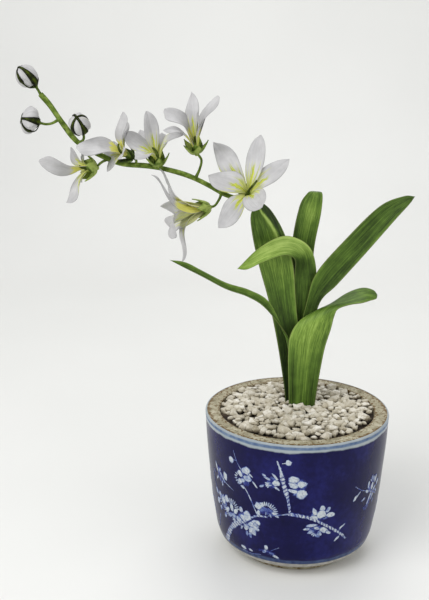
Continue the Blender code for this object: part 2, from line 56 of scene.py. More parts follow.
# Stage and lights, in metres: the floor runs back to a bend and rises from it, just under the pot
SWEEP_SIDE = 2.5
SWEEP_FRONT = -1.6
SWEEP_BEND = 0.7
SWEEP_RADIUS = 0.5
SWEEP_TOP = 2.2
SWEEP_STEPS = 12
SWEEP_DROP = 0.0002
LIGHTS = [("key", (-0.75, -0.75, 1.05), 0.9, 13.0), ("fill", (0.95, -0.6, 0.55), 1.0, 4.0),
          ("back", (0.2, 0.7, 1.2), 0.9, 6.0)]
LIGHTS_AIM = (-0.03, 0, 0.16)
SKY_COLOUR = (0.97, 0.98, 1.0, 1.0)
SKY_STRENGTH = 0.55

# Pot, with its height and rim from the frame
RIM_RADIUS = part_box("pot")[1][0] / MM
POT_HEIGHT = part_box("pot")[1][2] / MM
RIM_WIDTH = 10.0
MOUTH_RADIUS = RIM_RADIUS - RIM_WIDTH
FOOT_RADIUS = 40.2
FOOT_HEIGHT = 4.4
FLOOR_THICKNESS = 12.0
BEVEL = 1.2
RIM_STEP = 1.9
WALL_WAVE = 0.1
RIM_WAVE = 0.12
GLAZE_SLOT, CLAY_SLOT = 0, 1
POT_SEGMENTS = 180
POT_SIDE = [(61.5, 80.0), (59.8, 60.0), (57.8, 40.0), (54.9, 20.0), (53.5, 14.5), (51.6, 10.0),
            (48.0, 6.8), (44.0, 5.2), (FOOT_RADIUS + 1.2, FOOT_HEIGHT)]
POT_INSIDE = [(34.0, FLOOR_THICKNESS), (43.0, 20.0), (48.5, 40.0), (51.0, 70.0)]

# Heights over which one band of glaze gives way to the next
FOOT_LINE_LOW = (11.2, 12.2)
COBALT_LOW = (14.2, 15.2)
COBALT_HIGH = (94.6, 95.8)
RIM_LINE_LOW = (96.6, 97.6)
RIM_LINE_HIGH = (98.8, 99.6)

# Gravel
GAP = 0.3
SOIL_TOP = 88.0
BED_EDGE_TOP = 102.2
BED_CENTRE_TOP = 104.0
BED_DEPTH = 5.0
BED_FOOT_RADIUS = 51.5
# The bed's axis leans by a hair, because frame_of() has no way square to an upright one
BED = {"centre": (0, 0, 0), "faces": (0.001, 0, 1)}
BED_RADII = (40, 26, 12, 1)
BED_SEGMENTS = 64
BED_TONE = 0.1
STONE_COUNT = 470
STONE_RADIUS = (2.1, 5.0)
STONE_WEAR = 0.05
STONE_FLATNESS = 12
STONE_ROUGHNESS = 0.05
# Painted shade on each stone's lower sides, towards the gaps: its strength, and the height on the stone, as
# a share of its size, below which it starts
STONE_GAP_SHADE = 0.75
GAP_SHADE_TOP = 0.35
SMALL_STONES = 1.6
BIG_STONES = 12
FIRST_BIG_STONE = 20
BIG_STONE_GROWTH = 1.2
PALE_STONES = 0.88
PALE_TONES = (0.55, 0.9)
DARK_TONES = (0.35, 0.5)
# Limits of the random draws: a stone's stretch three ways, its corners, how far each lies from the
# middle, its lean, and how much it lies above or below its place in the bed
STONE_STRETCH = [(0.95, 1.3), (0.75, 1.05), (0.6, 0.85)]
STONE_CORNERS = (8, 11)
STONE_REACH = (0.72, 1.15)
STONE_LEAN = (-0.5, 0.5)
STONE_LIFT = (-2.2, 0.6)
GOLDEN_ANGLE = math.pi * (3 - math.sqrt(5))

# Leaves. A leaf has how hollow it is across, pairs of points on its left and right margin from the
# root up to the tip, and its tones: a share of the length, and how light the paint is there at the
# left margin, in the middle and at the right margin. The tones are partly the leaf's own paint and
# partly painted light and shade, lighter where a face turns up to the light and darker where it
# turns away. A ridge has a share of the length, and the share across and the height of its crest
# there; the paint has a painted highlight along its crest and painted shade to its right.
ROOT_BOTTOM = 80.0
LEAVES = {
    "leaf_1": {"cup": -0.07, "margins": [
        ((-7.5, 6, ROOT_BOTTOM), (3, 6.5, ROOT_BOTTOM)), ((-7.5, 6, 104), (3, 6.5, 104)),
        ((-11, 6, 130), (2.5, 7, 130)), ((-15.5, 5.5, 155), (1, 7, 151)),
        ((-20.5, 5, 177), (-1.5, 7, 173)), ((-27.5, 4, 202), (-4, 6, 199)),
        ((-32, 2.5, 223), (-10, 5, 220)), ((-32.5, 2.5, 235), (-19, 4, 236)),
        ((-27, 4, 243), (-27, 4, 243))],
        "tones": [(0.0, 0.0, 0.05, 0.05), (0.3, 0.1, 0.12, 0.2), (0.45, 0.35, 0.3, 0.5),
                  (0.62, 0.5, 0.62, 0.62), (0.75, 0.4, 0.5, 0.6), (0.88, 0.42, 0.5, 0.5),
                  (1.0, 0.4, 0.35, 0.4)],
        "ridge": [(0.0, 0.6, 0.0), (0.62, 0.8, 0.0), (0.8, 0.68, 3.0), (0.9, 0.45, 2.6), (1.0, 0.3, 0.3)]},
    "leaf_2": {"cup": -0.08, "margins": [
        ((-2, 21, ROOT_BOTTOM), (8, 21, ROOT_BOTTOM)), ((-2, 21, 104), (8, 21, 104)),
        ((-4, 21, 150), (9, 21, 150)), ((-4.5, 21, 180), (10, 22, 180)),
        ((-4, 20.5, 211), (11.3, 21.5, 208)), ((0.3, 20, 236), (15, 21, 231)),
        ((5.2, 22, 244.5), (16, 23, 243.5)), ((9, 27, 245.5), (14.5, 28, 245)),
        ((13, 33, 243), (13, 33, 243))],
        "tones": [(0.0, 0.1, 0.1, 0.1), (0.4, 0.2, 0.2, 0.25), (0.52, 0.25, 0.5, 0.4),
                  (0.62, 0.35, 0.8, 0.5), (0.72, 0.45, 0.6, 0.45), (1.0, 0.5, 0.5, 0.4)]},
    "leaf_3": {"cup": -0.05, "margins": [
        ((-3.5, 13, ROOT_BOTTOM), (8, 13, ROOT_BOTTOM)), ((-3.5, 13, 104), (8.5, 13, 104)),
        ((-3.8, 14, 152), (10.3, 14, 152)), ((-3, 14, 178), (12.2, 14.5, 178)),
        ((-2.5, 11, 194), (12, 13.5, 196)), ((-3.5, 4, 204), (7, 8, 211)),
        ((-11, -4, 208.5), (-4, 3, 219)), ((-24, -9, 205.5), (-15, -2, 220)),
        ((-35, -11, 200.8), (-29, -8, 213)), ((-41.5, -12, 201.3), (-41.5, -12, 201.3))],
        "tones": [(0.0, 0.1, 0.1, 0.1), (0.25, 0.35, 0.35, 0.3), (0.38, 0.35, 0.45, 0.35),
                  (0.48, 0.2, 0.35, 0.5), (0.56, 0.3, 0.7, 0.9), (0.68, 0.7, 0.92, 0.95),
                  (0.85, 0.72, 0.9, 0.85), (1.0, 0.6, 0.7, 0.6)]},
    "leaf_4": {"cup": -0.1, "margins": [
        ((0.5, 9, ROOT_BOTTOM), (9.5, 9, ROOT_BOTTOM)), ((0.5, 9, 104), (10, 9, 104)),
        ((1.3, 10, 146), (10.5, 10, 143)), ((6.3, 11, 174), (14.5, 11, 171)),
        ((12, 11, 193), (26.5, 9, 186)), ((30.2, 8, 216.5), (43.5, 5.7, 207.5)),
        ((51, 5.5, 238.8), (61, 2, 230.5)), ((66, 3, 246), (69.5, 1, 241)),
        ((72.7, 0, 246.3), (72.7, 0, 246.3))],
        "tones": [(0.0, 0.1, 0.1, 0.1), (0.3, 0.3, 0.25, 0.2), (0.5, 0.5, 0.4, 0.3),
                  (0.65, 0.35, 0.35, 0.4), (0.8, 0.35, 0.4, 0.4), (1.0, 0.3, 0.35, 0.3)]},
    "leaf_5": {"cup": 0.08, "margins": [
        ((-5, 0, ROOT_BOTTOM), (11.5, 0, ROOT_BOTTOM)), ((-5.5, 0, 104), (12.5, 0, 104)),
        ((-6.7, 0, 138), (17, -1.5, 140)), ((-5.7, 0, 152), (21.2, -3, 158)),
        ((-0.4, 1, 161.5), (23, -4, 167)), ((9, 4.5, 167), (25.5, -4.5, 172.3)),
        ((21, 8.5, 171.8), (33, -4, 175)), ((33, 12, 178.6), (41.5, -2, 175.7)),
        ((43, 12.5, 182.2), (47.5, 3, 175.9)), ((50.3, 11, 181.3), (52, 5.5, 176.6)),
        ((53, 8.3, 178.6), (53, 8.3, 178.6))],
        "tones": [(0.0, 0.15, 0.25, 0.15), (0.13, 0.3, 0.42, 0.3), (0.2, 0.45, 0.6, 0.42),
                  (0.28, 0.58, 0.72, 0.5), (0.36, 0.6, 0.75, 0.6), (0.46, 0.5, 0.6, 0.55),
                  (0.55, 0.3, 0.45, 0.5), (0.8, 0.4, 0.5, 0.5), (1.0, 0.45, 0.4, 0.5)]},
    "leaf_6": {"cup": 0.1, "margins": [
        ((-4, 3, ROOT_BOTTOM), (3, 3, ROOT_BOTTOM)), ((-4, 3, 104), (3, 3, 104)),
        ((-6, 3, 138), (0, 3, 136)), ((-10.5, 2, 156), (-6, 1.8, 150)),
        ((-20.3, -3, 176.7), (-22.3, -4, 172.2)), ((-33.4, -7, 185.9), (-34.4, -8.5, 181.6)),
        ((-48.5, -11, 191.8), (-48.9, -12.5, 188)), ((-63.4, -15, 200.5), (-63.7, -17, 197.2)),
        ((-74.5, -19, 207.2), (-75.5, -20, 204)), ((-84.6, -22, 209.5), (-84.6, -22, 209.5))],
        "tones": [(0.0, 0.1, 0.1, 0.1), (0.25, 0.35, 0.4, 0.35), (0.4, 0.6, 0.5, 0.4),
                  (1.0, 0.5, 0.5, 0.35)]},
}
NO_RIDGE = [(0.0, 0.5, 0.0), (1.0, 0.5, 0.0)]
LEAF_STEPS = 14
LEAF_COLUMNS = 60
LEAF_HALF_THICKNESS = 0.5
VEIN_COUNT = 15
VEIN_HEIGHT = 0.03
# Brush strokes in a leaf's paint: how fine they are across and along, and their strength
LEAF_STROKES = [(6.0, 3.0, 0.45), (30.0, 8.0, 0.55), (90.0, 16.0, 0.75)]

# Flower stem: points along its centre, from the root to the last bud's neck
STEM_RADIUS = 1.5
STEM_ROUTE = [(2, 17, ROOT_BOTTOM), (2, 17, 108), (-3, 17.5, 150), (-11, 16, 185), (-18, 13.5, 212),
              (-26, 10, 233), (-36, 6, 242), (-48, 2, 246.7), (-59, 0, 253), (-72, -1.5, 259.5),
              (-85, -3, 263.7), (-98, -5, 266.5), (-115, -7, 268.3), (-128, -9, 274),
              (-141, -11, 281.8), (-149.5, -12.5, 293), (-157, -13, 304.5), (-162.5, -14, 311.4)]
STEM_SIDES = 20
PEDICEL_RADIUS = 0.8
PEDICEL_SIDES = 14
PEDICEL_TONE = 0.45

# Blooms. A bloom has its centre, where the petals meet, the way it faces, its green cup, its pedicel
# from the stem to the centre, its style and its petals. The cup has the radius and the height that its
# sepals reach, how light they are and how wide. The style has its direction in degrees, and the
# radius and height it ends at. A petal has its direction round the axis and its spread from the axis
# in degrees, its length and width, the outward curl and the twist of its outer part in degrees, the
# turn outwards of its tip in degrees, its sway sideways, how much wider one half is than the other,
# and how blunt it is. Where stated, claw is how far the petals run along the axis before they spread,
# heel is how broad they stay low down, and patched and faint name the petals, counted from 0, that
# have a yellow patch and faint strokes.
BLOOMS = {
    "flower_1": {
        "centre": (-34.6, -3, 248), "faces": (-0.05, -0.93, 0.36), "cup": (8.5, 3.5, 0.8, 5),
        "pedicel": [(-38, 5.2, 243), (-36.2, 3, 245.4), (-34.7, -0.5, 247.1)], "style": (50, 8.5, 12),
        "petals": [(75, 77, 38.6, 11.7, 23, -9, 6, 2.6, 0, 0.3),
                   (123, 88, 40.5, 14, 37, 18, -5, 1, 0.3, 0),
                   (156, 63, 30.2, 15.3, 21, 18, 26, 1.5, -0.26, 0),
                   (-125, 66, 33, 13.4, 12, 10, -2, -1.2, -0.25, 0.2),
                   (-60, 35, 28.3, 16.2, 32, 18, -10, 1, 0.1, 0.6),
                   (37, 78, 34.3, 11.8, 16, -8, 2.5, 1.9, 0.1, 0.1)]},
    "flower_2": {
        "centre": (-61, -6, 240), "faces": (-0.92, -0.37, -0.13), "cup": (7.5, 9.5, 1.0, 7.4),
        "pedicel": [(-51.9, 0.5, 248), (-53.2, -0.5, 244.7), (-56, -3, 241), (-59.5, -5.4, 240.2)],
        "style": (90, 1.5, 9), "claw": 21.0, "heel": 0.95, "patched": [0, 1], "faint": [2, 3, 4, 5],
        "petals": [(46, 59, 51, 6.6, 83, 0, -105, 3, -0.35, 0),
                   (116, 63, 32, 15, 90, -38, -110, -4, -0.3, 0.6),
                   (153, 25, 30, 13, -10, -25, -27, 0, -0.14, 0),
                   (-142, 52, 34, 11, 50, -32, 31, -1.5, 0.4, 0.1),
                   (-34, 28, 35, 12, 50, -23, 39, -1.6, 0, 0.7),
                   (-97, 70, 34, 8.5, 62, -4, -73, -0.8, -0.36, 0.4)]},
    "flower_3": {
        "centre": (-68, -4, 276), "faces": (-0.1, -0.3, 0.95), "cup": (8.5, 6.5, 0.85, 6.8),
        "pedicel": [(-68.3, -1, 258.5), (-65.8, -1.5, 264), (-64.6, -2.8, 270), (-67.5, -3.7, 274.6)],
        "style": (90, 1.5, 9), "patched": [0, 2, 4],
        "petals": [(-169, 33, 32, 13, 53, -31, -18, 0, -0.45, 0.65),
                   (100, 30, 36.4, 9.1, 35, -13, -5, 2, 0.4, 0),
                   (-137, 50, 28.2, 6.1, 64, -35, -34, 4.5, -0.4, 0.5),
                   (-8, 11.5, 28, 6.8, -10, 57, 2, -2.2, 0.16, 0.2),
                   (21, 32.5, 37.3, 11, 41, 24, -31, -0.7, 0.4, 0.6),
                   (45, 25, 32, 8, 12, 0, 0, 0, 0, 0.3)]},
    "flower_4": {
        "centre": (-92, -5, 268.2), "faces": (-0.1, -0.25, 0.96), "cup": (8, 6.5, 0.7, 6.6),
        "pedicel": [(-92.3, -4.4, 264.8), (-92.2, -4.7, 266.8)], "style": (170, 3, 10),
        "petals": [(135, 21, 33.4, 10, 13, 6, 13, -1.6, 0.17, 0.5), (102, 58, 24, 12, 10, 0, 0, 0, 0, 0.2),
                   (25, 46, 26, 9, 47, 15, 6, -1.1, 0.35, 0.5),
                   (-166, 43, 28.6, 15, -6, -41, -24, 0, 0.14, 0.3),
                   (-106, 61, 29, 12.6, 16, -4, 8, 5.3, -0.45, 0),
                   (140, 52, 27, 11, 10, 0, 0, 0, 0, 0.2)]},
    "flower_5": {
        "centre": (-109, -8, 273), "faces": (-0.8, -0.4, 0.45), "cup": (8.5, 8, 0.1, 3.4),
        "pedicel": [(-106.4, -6, 266.8), (-105.6, -6, 270), (-107.8, -7.4, 272.3)],
        "style": (110, 4, 10), "patched": [0, 1, 5],
        "petals": [(90, 56, 27.6, 9.7, 22, 36, -7.5, 0, 0.4, 0.2),
                   (-121, 17, 34.7, 15.4, 23, -26, 0, 0.6, -0.45, 0.4),
                   (-89, 55, 18.2, 12, 16, -6, 0, 0.7, 0, 0), (-175, 70, 26, 12, 10, 0, 0, 0, 0, 0.2),
                   (118, 72, 23, 11, 10, 0, 0, 0, 0, 0.2), (-10, 50, 15, 9, 15, 0, 0, 0, 0, 0.2)]},
    "flower_6": {
        "centre": (-132, -11, 266), "faces": (-0.93, -0.3, 0.05), "cup": (9.5, 6.5, 1.0, 8),
        "pedicel": [(-122.5, -8.3, 271.4), (-127, -9.6, 269.4), (-130.6, -10.5, 266.2)],
        "style": (90, 1.5, 9), "patched": [0],
        "petals": [(124, 7, 34, 12.2, 27, 43, 3, 0, 0.45, 0.4),
                   (138, 55, 22.6, 9.7, 22, 8, 13.5, 2.2, 0, 0.15),
                   (-87, 53, 27.5, 13, -13, -30, -8, 0, -0.33, 0.1),
                   (178, 86, 26, 11, 10, 0, 0, 0, 0, 0.2), (-154, 80, 23, 10, 10, 0, 0, 0, 0, 0.2),
                   (154, 80, 20, 10, 10, 0, 0, 0, 0, 0.2)]},
}
PETAL_POINTED = [(0.0, 0.2), (0.22, 0.34), (0.42, 0.78), (0.62, 1.0), (0.8, 0.8), (0.92, 0.42), (1.0, 0.0)]
PETAL_BLUNT = [(0.0, 0.2), (0.22, 0.34), (0.42, 0.72), (0.62, 0.95), (0.8, 1.0), (0.93, 0.8), (1.0, 0.25)]
PETAL_HEEL = [(0.0, 0.35), (0.2, 1.0), (0.45, 1.0), (0.7, 0.4), (1.0, 0.0)]
CLAW_HEIGHT = 9.5
PETAL_ROWS = 44
PETAL_COLUMNS = 16
PETAL_HALF_THICKNESS = 0.36
PETAL_FOLD = 0.5
PETAL_WAVE = 0.45
PETAL_SHOULDER = 0.4
STYLE_RADIUS = 0.8
STYLE_SIDES = 12
# The style's route, as shares of its height and of its radius
STYLE_ROUTE = [(0.35, -0.3), (0.75, 0.0), (0.95, 0.5), (1.0, 1.0)]
# Turned forms have heights and radii
THROAT_PROFILE = [(0.3, 2.5), (2.2, 2.3), (3.8, 1.6), (5.0, 0.7)]
THROAT_TONE = 0.35
TURNED_SIDES = 20
SEPAL_COUNT = 5
SEPAL_START = 18
SEPAL_OUTLINE = [(0.0, 0.4), (0.2, 0.75), (0.42, 1.0), (0.6, 0.85), (0.8, 0.45), (1.0, 0.0)]
SEPAL_HALF_THICKNESS = 0.3
SEPAL_FOLD = 0.5
SEPAL_ROWS = 20
SEPAL_COLUMNS = 8
SEAT_PROFILE = [(-3.4, 0.85), (-2.6, 1.3), (-1.6, 2.0), (-0.6, 2.6), (0.2, 2.8)]

# Buds: where the bud meets its stalk, the way it points, its length and radius, its sepals and its
# pedicel. A sepal has its direction round the bud in degrees and the share of the length where it
# becomes wide.
BUDS = {
    "bud_1": {"centre": (-165.7, -14, 316.7), "faces": (-0.62, -0.2, 0.76), "length": 14, "radius": 7,
              "sepals": [(15, 0), (-58, 0.5), (130, 0), (-150, 0)],
              "pedicel": [(-162, -14, 310.6), (-163.8, -14, 313.9), (-165.3, -14, 316.2)]},
    "bud_2": {"centre": (-165, -13, 294.2), "faces": (-0.88, -0.4, 0.26), "length": 10.5, "radius": 9.2,
              "sepals": [(6, 0), (-62, 0.45), (140, 0), (-145, 0)],
              "pedicel": [(-151.8, -12.8, 296.2), (-156, -13, 293.9), (-160, -13, 293.2),
                          (-164.4, -13, 294.1)]},
    "bud_3": {"centre": (-138.2, -12.3, 289.4), "faces": (-0.1, -0.77, 0.62), "length": 14, "radius": 7.2,
              "sepals": [(130, 0), (42, 0), (-48, 0), (-125, 0)],
              "pedicel": [(-141, -11, 281.8), (-138.2, -11.5, 283), (-137.2, -12, 285.4),
                          (-138, -12.2, 288.2)]},
}
BUD_OUTLINE = [(0.0, 0.0), (0.06, 0.5), (0.2, 0.86), (0.45, 1.0), (0.66, 0.94), (0.83, 0.72), (0.94, 0.42),
               (1.0, 0.05)]
BUD_GROOVE = 0.2
BUD_PETALS = 3
BUD_OVERLAP = 0.09
BUD_TWIST = 0.9
BUD_SEAT_PROFILE = [(-2.2, 0.75), (-1.5, 1.2), (-0.8, 1.8), (-0.1, 2.0)]
BUD_SEPAL_WIDTH = 4.0
BUD_SEPAL_HALF_THICKNESS = 0.32
BUD_SEPAL_ROWS = 28
BUD_SEAT_SIDES = 16
BUD_TONE = 0.3
BUD_SEPAL_OUTLINE = [(0.0, 0.75), (0.15, 1.1), (0.4, 1.0), (0.65, 0.72), (0.85, 0.45), (1.0, 0.4)]
BUD_SEPAL_GAP = 0.2
BUD_RINGS = 26
BUD_SEGMENTS = 60

# Painted plum branches on the pot. A place is the degrees round from the front, plus to the right,
# and the height. A stroke has its places, its widths at its start and end, how light it is, and
# whether it is hatched with blue.
STROKES = [
    ([(-63, 13), (-59, 19), (-54, 27), (-48, 33), (-43, 36)], 5.0, 3.2, 0.8, True),
    ([(-73, 20), (-69, 27), (-66, 33)], 0.9, 0.7, 0.5, False),
    ([(-43, 36), (-36, 41), (-33, 44), (-28, 46.5), (-22, 47)], 2.4, 1.4, 0.7, True),
    ([(-22, 48), (-14, 50), (-8, 51.5)], 0.8, 1.2, 0.55, False),
    ([(-9, 51.5), (0, 50), (7, 47.5), (14, 43), (21, 38), (26, 34), (32, 28)], 3.0, 1.5, 0.8, True),
    ([(-8, 51), (-8.5, 57), (-10, 66)], 2.0, 2.3, 0.7, True),
    ([(-9.8, 64), (-11, 69), (-12.5, 75), (-13, 79)], 3.2, 3.4, 0.8, True),
    ([(-13, 78), (-14, 83), (-16, 89)], 2.8, 0.9, 0.85, False),
    ([(-13, 87.5), (-9, 88.5)], 0.6, 0.8, 0.8, False),
    ([(-45.5, 89), (-43, 82), (-39, 76), (-34, 70)], 0.5, 0.9, 0.5, False),
    ([(-39, 66), (-36, 62), (-33, 56), (-31, 51), (-29, 47)], 0.9, 1.2, 0.6, False),
    ([(-43, 82.5), (-46, 82)], 0.6, 0.6, 0.6, False),
    ([(-60, 66), (-55, 62), (-47, 59)], 1.1, 0.5, 0.6, False),
    ([(-71, 63), (-69, 56), (-66, 50)], 0.6, 0.4, 0.45, False),
    ([(-27, 53.5), (-23, 56), (-19, 53.5)], 0.8, 0.6, 0.75, False),
    ([(24, 35), (28, 39)], 0.6, 0.5, 0.6, False),
    ([(-44, 15), (-36, 14.5), (-29, 16), (-22, 17.5), (-15, 15)], 0.8, 0.8, 0.5, False),
    ([(-23, 18.5), (-20, 21.5), (-15, 24.5)], 0.7, 0.4, 0.45, False),
]
# An oval has its place, its length and width, the way it points in degrees and how light it is
OVALS = [
    (-6, 76.8, 5.4, 3.5, 5, 0.9), (-6, 72.5, 5.0, 3.6, 155, 0.9), (-1, 73.5, 5.0, 3.8, 10, 0.9),
    (-1, 66.5, 5.6, 5.4, 70, 0.9), (-5.5, 68.3, 6.0, 2.4, -15, 0.85), (-22, 75.6, 4.0, 1.5, 165, 0.8),
    (-17.3, 77.8, 4.6, 1.7, 130, 0.8), (-16.5, 73, 4.0, 3.2, 0, 0.9), (-21.3, 72.6, 2.8, 0.9, 190, 0.6),
    (-20.5, 70.7, 2.8, 0.9, 205, 0.6), (-16, 69.3, 3.6, 1.4, -35, 0.8), (-9.3, 88.2, 3.2, 3.2, 20, 0.85),
    (-47.5, 81.3, 3.8, 3.0, 140, 0.8), (-36.5, 77.3, 5.4, 4.2, 10, 0.9), (-35.3, 72.2, 5.2, 3.8, -5, 0.9),
    (-41.3, 68, 3.6, 3.0, 70, 0.8), (-39.3, 64.6, 2.6, 1.5, -30, 0.8), (-33, 75, 3.2, 1.2, -35, 0.8),
    (-30.2, 69, 4.6, 1.4, -50, 0.85), (-64.5, 69.5, 5.4, 1.7, 110, 0.85), (-60.5, 68.5, 3.0, 1.8, 60, 0.6),
    (-54.5, 66.5, 4.4, 3.2, 110, 0.9), (-59, 65.5, 3.4, 1.6, -60, 0.7), (-58.3, 59.7, 3.6, 1.5, 85, 0.8),
    (-68, 65, 3.0, 1.0, 160, 0.5), (-59, 47, 5.2, 4.4, 90, 0.8), (-66, 43.5, 4.2, 3.0, 70, 0.65),
    (-50.3, 45.3, 5.0, 2.6, 100, 0.9), (-37, 43.7, 6.0, 4.6, 80, 0.9), (-30.5, 40.3, 5.2, 3.6, 15, 0.9),
    (-33.5, 33, 4.8, 4.0, -50, 0.9), (-44.3, 38.5, 4.6, 3.8, 165, 0.65), (-48.3, 39.5, 3.4, 3.0, 120, 0.6),
    (-42.3, 33, 2.8, 1.6, 250, 0.7), (-55, 41.5, 4.2, 3.0, 40, 0.8), (-41.5, 47, 3.6, 2.6, 100, 0.75),
    (-38, 30, 3.4, 2.0, 270, 0.6), (-63, 39, 3.4, 2.4, 80, 0.6), (-28.5, 54, 4.2, 4.0, 80, 0.9),
    (-28.3, 48.6, 3.4, 2.2, 85, 0.75), (-17, 49.6, 4.6, 2.0, -40, 0.85), (-20.3, 48.6, 2.6, 1.0, -65, 0.65),
    (-23.3, 49.3, 2.4, 0.9, -95, 0.6), (12, 50.8, 5.2, 4.4, 0, 0.95), (12.3, 55.2, 3.6, 2.8, 90, 0.9),
    (7.4, 53.2, 4.6, 2.6, 110, 0.85), (18, 49.8, 4.8, 3.2, 0, 0.9), (6, 43, 5.8, 2.2, 5, 0.85),
    (14.2, 38.8, 5.2, 3.2, -25, 0.85), (9.5, 40.6, 3.4, 1.8, -20, 0.75), (5.8, 38.2, 4.2, 2.2, 25, 0.5),
    (10, 35, 3.8, 2.6, -35, 0.45), (27.5, 39, 4.0, 1.4, 35, 0.85), (24.3, 30, 4.2, 1.5, 225, 0.85),
    (29.3, 31.8, 3.0, 1.0, -45, 0.7), (-42.5, 17.2, 3.4, 2.2, -20, 0.8), (-36.5, 17, 2.6, 1.5, -15, 0.75),
    (-24, 23, 2.6, 2.5, 100, 0.85), (-25.5, 19.5, 3.0, 2.0, 50, 0.6), (-20.5, 19, 3.2, 1.8, -10, 0.6),
    (-17.5, 16.8, 3.8, 1.8, -20, 0.75), (-55, 49.5, 4.6, 3.2, 100, 0.85), (-62.5, 49, 4.4, 2.8, 110, 0.7),
    (-52, 39, 4.2, 2.8, 20, 0.7), (-58, 36, 3.8, 2.4, 250, 0.65), (-46.5, 43.5, 4.0, 2.6, 60, 0.85),
    (-67, 50, 4.0, 2.6, 120, 0.6), (-40.3, 41, 4.4, 3.0, 130, 0.8), (-34.5, 38, 4.0, 3.0, 20, 0.85),
    (-38.5, 34.5, 4.2, 3.0, 240, 0.8), (-30.5, 36, 3.8, 2.6, -20, 0.8), (-46, 35, 3.6, 2.4, 200, 0.65),
    (-35.5, 29.5, 3.4, 2.2, -80, 0.65), (7.5, 48.8, 4.0, 2.4, 150, 0.8), (16, 53.8, 3.6, 2.4, 60, 0.85),
    (11.5, 36.5, 3.6, 2.2, -60, 0.7), (17.5, 36.5, 3.4, 2.0, -30, 0.7), (2.8, 40.5, 3.4, 1.8, 190, 0.65),
    (-25.5, 69.5, 3.0, 1.6, 210, 0.6), (-24, 77.5, 3.0, 1.4, 150, 0.65), (-40.5, 74, 4.0, 2.6, 120, 0.75),
    (-38.8, 69.5, 3.4, 2.2, 200, 0.7), (-64, 62, 3.6, 1.6, 240, 0.6), (-56.5, 62.5, 3.2, 1.6, 300, 0.65),
    (-26, 55.5, 3.0, 1.6, 120, 0.7),
]
# Blue washes behind the blossoms: place, length, width and the way each points
WASHES = [
    (-58, 45, 15, 8, 70), (-39, 39, 17, 13, 160), (-23, 51, 15, 8, 0), (11, 50, 16, 9, -5),
    (9, 39.5, 14, 8, -15), (-37, 72, 14, 9, 105), (-3, 71, 15, 11, 90), (-19, 73, 10, 9, 80),
    (-60, 65, 14, 8, 120), (-24, 19, 14, 6, 0),
]
# A fan has its centre, the reach where its rays start and end, the turn of its first and last ray,
# the number of rays and how light they are
FANS = [
    (-22.5, 51, 4.2, 7.2, 0, 130, 11, 0.75), (-50, 44.5, 3.6, 7.0, 15, 120, 8, 0.75),
    (-53, 42, 2.4, 5.4, 185, 275, 6, 0.7), (-39, 37.7, 0.8, 3.8, -110, -15, 5, 0.7),
    (-40.5, 70.5, 3.0, 5.0, 120, 240, 6, 0.7), (-47, 37, 1.0, 3.6, 130, 230, 5, 0.65),
    (-20, 72, 1.4, 3.8, 175, 235, 4, 0.7), (9, 38.5, 1.6, 4.2, 200, 320, 6, 0.6),
    (-59, 46, 2.6, 5.0, 60, 300, 9, 0.65), (-33, 37, 1.0, 4.4, -60, 60, 6, 0.7),
]
# The twig further round the front's right side
RIGHT_STROKES = [
    ([(35, 66), (41, 61.5), (49, 58), (60, 52)], 0.7, 1.1, 0.55, True),
    ([(40, 61), (36, 57)], 0.8, 1.6, 0.8, False),
]
RIGHT_OVALS = [
    (48, 63, 4.0, 1.9, 80, 0.85), (52.5, 60.7, 4.0, 2.5, 80, 0.9), (35.8, 57, 3.4, 1.8, 230, 0.9),
    (51, 53.5, 5.0, 1.3, 60, 0.85), (54.5, 52.5, 5.0, 1.2, 60, 0.8), (49, 49.5, 3.0, 1.3, 60, 0.6),
    (46.5, 47, 3.2, 1.2, 200, 0.5), (56, 48.5, 2.6, 1.1, 70, 0.55), (56.5, 64.5, 4.2, 2.2, 80, 0.8),
    (60, 60.5, 4.0, 2.0, 60, 0.75), (56, 57.5, 3.8, 2.0, 40, 0.8), (47, 58.5, 3.6, 1.8, 150, 0.8),
    (59, 54.5, 3.6, 1.6, -40, 0.7), (44, 53.5, 3.4, 1.6, 200, 0.65), (52, 66.8, 3.6, 1.6, 100, 0.7),
]
RIGHT_WASHES = [(51, 60, 9, 7, 60), (51, 51, 13, 6, 65)]
RIGHT_FANS = [(53, 62, 1.6, 5.6, 50, 130, 6, 0.6), (48, 47.5, 0.8, 3.4, 200, 330, 5, 0.45)]
# The sprays round the pot: the turn of each, and -1 where it is mirrored
SPRAYS = [(0, 1), (100, -1), (252, 1)]
HATCH_STEP = 2.6
PAINT_PROUD = 0.09
PAINT_DEPTH = 0.15
EDGE_BLUE = 0.6
PATCH_INNER = 0.76
# Points across a stroke: the side, the share of the paint's height, and how much bluer
STROKE_SECTION = [(1.0, 0.5, EDGE_BLUE), (0.6, 1, 0), (-0.6, 1, 0), (-1.0, 0.5, EDGE_BLUE)]
OVAL_POINTS = 10
OVAL_GROWTH = 1.45
WASH_TONE = 0.3
WASH_PROUD = PAINT_PROUD * 0.4
RAY_WIDTH = 0.95
# Limits of the random draws that make the painting uneven
OVAL_HEIGHTS = (0.7, 1.3)
OVAL_WIDTHS = (0.72, 1.16)
OVAL_LENGTHS = (0.82, 1.1)
RAY_LENGTHS = (0.85, 1.05)
STROKE_WIDTHS = (0.65, 1.25)


def smooth_curve(points, steps):
    """Points on a smooth curve through the given ones, with the same number of steps in each span."""
    points = [Vector(point) for point in points]
    result = []
    last = len(points) - 1
    for span in range(last):
        start, end = points[span], points[span + 1]
        before = points[span - 1] if span else start * 2 - end
        after = points[span + 2] if span + 2 <= last else end * 2 - start
        for step in range(steps):
            u = step / steps
            result.append(0.5 * (2 * start + (end - before) * u
                                 + (2 * before - 5 * start + 4 * end - after) * u ** 2
                                 + (3 * start - before - 3 * end + after) * u ** 3))
    result.append(points[last])
    return result


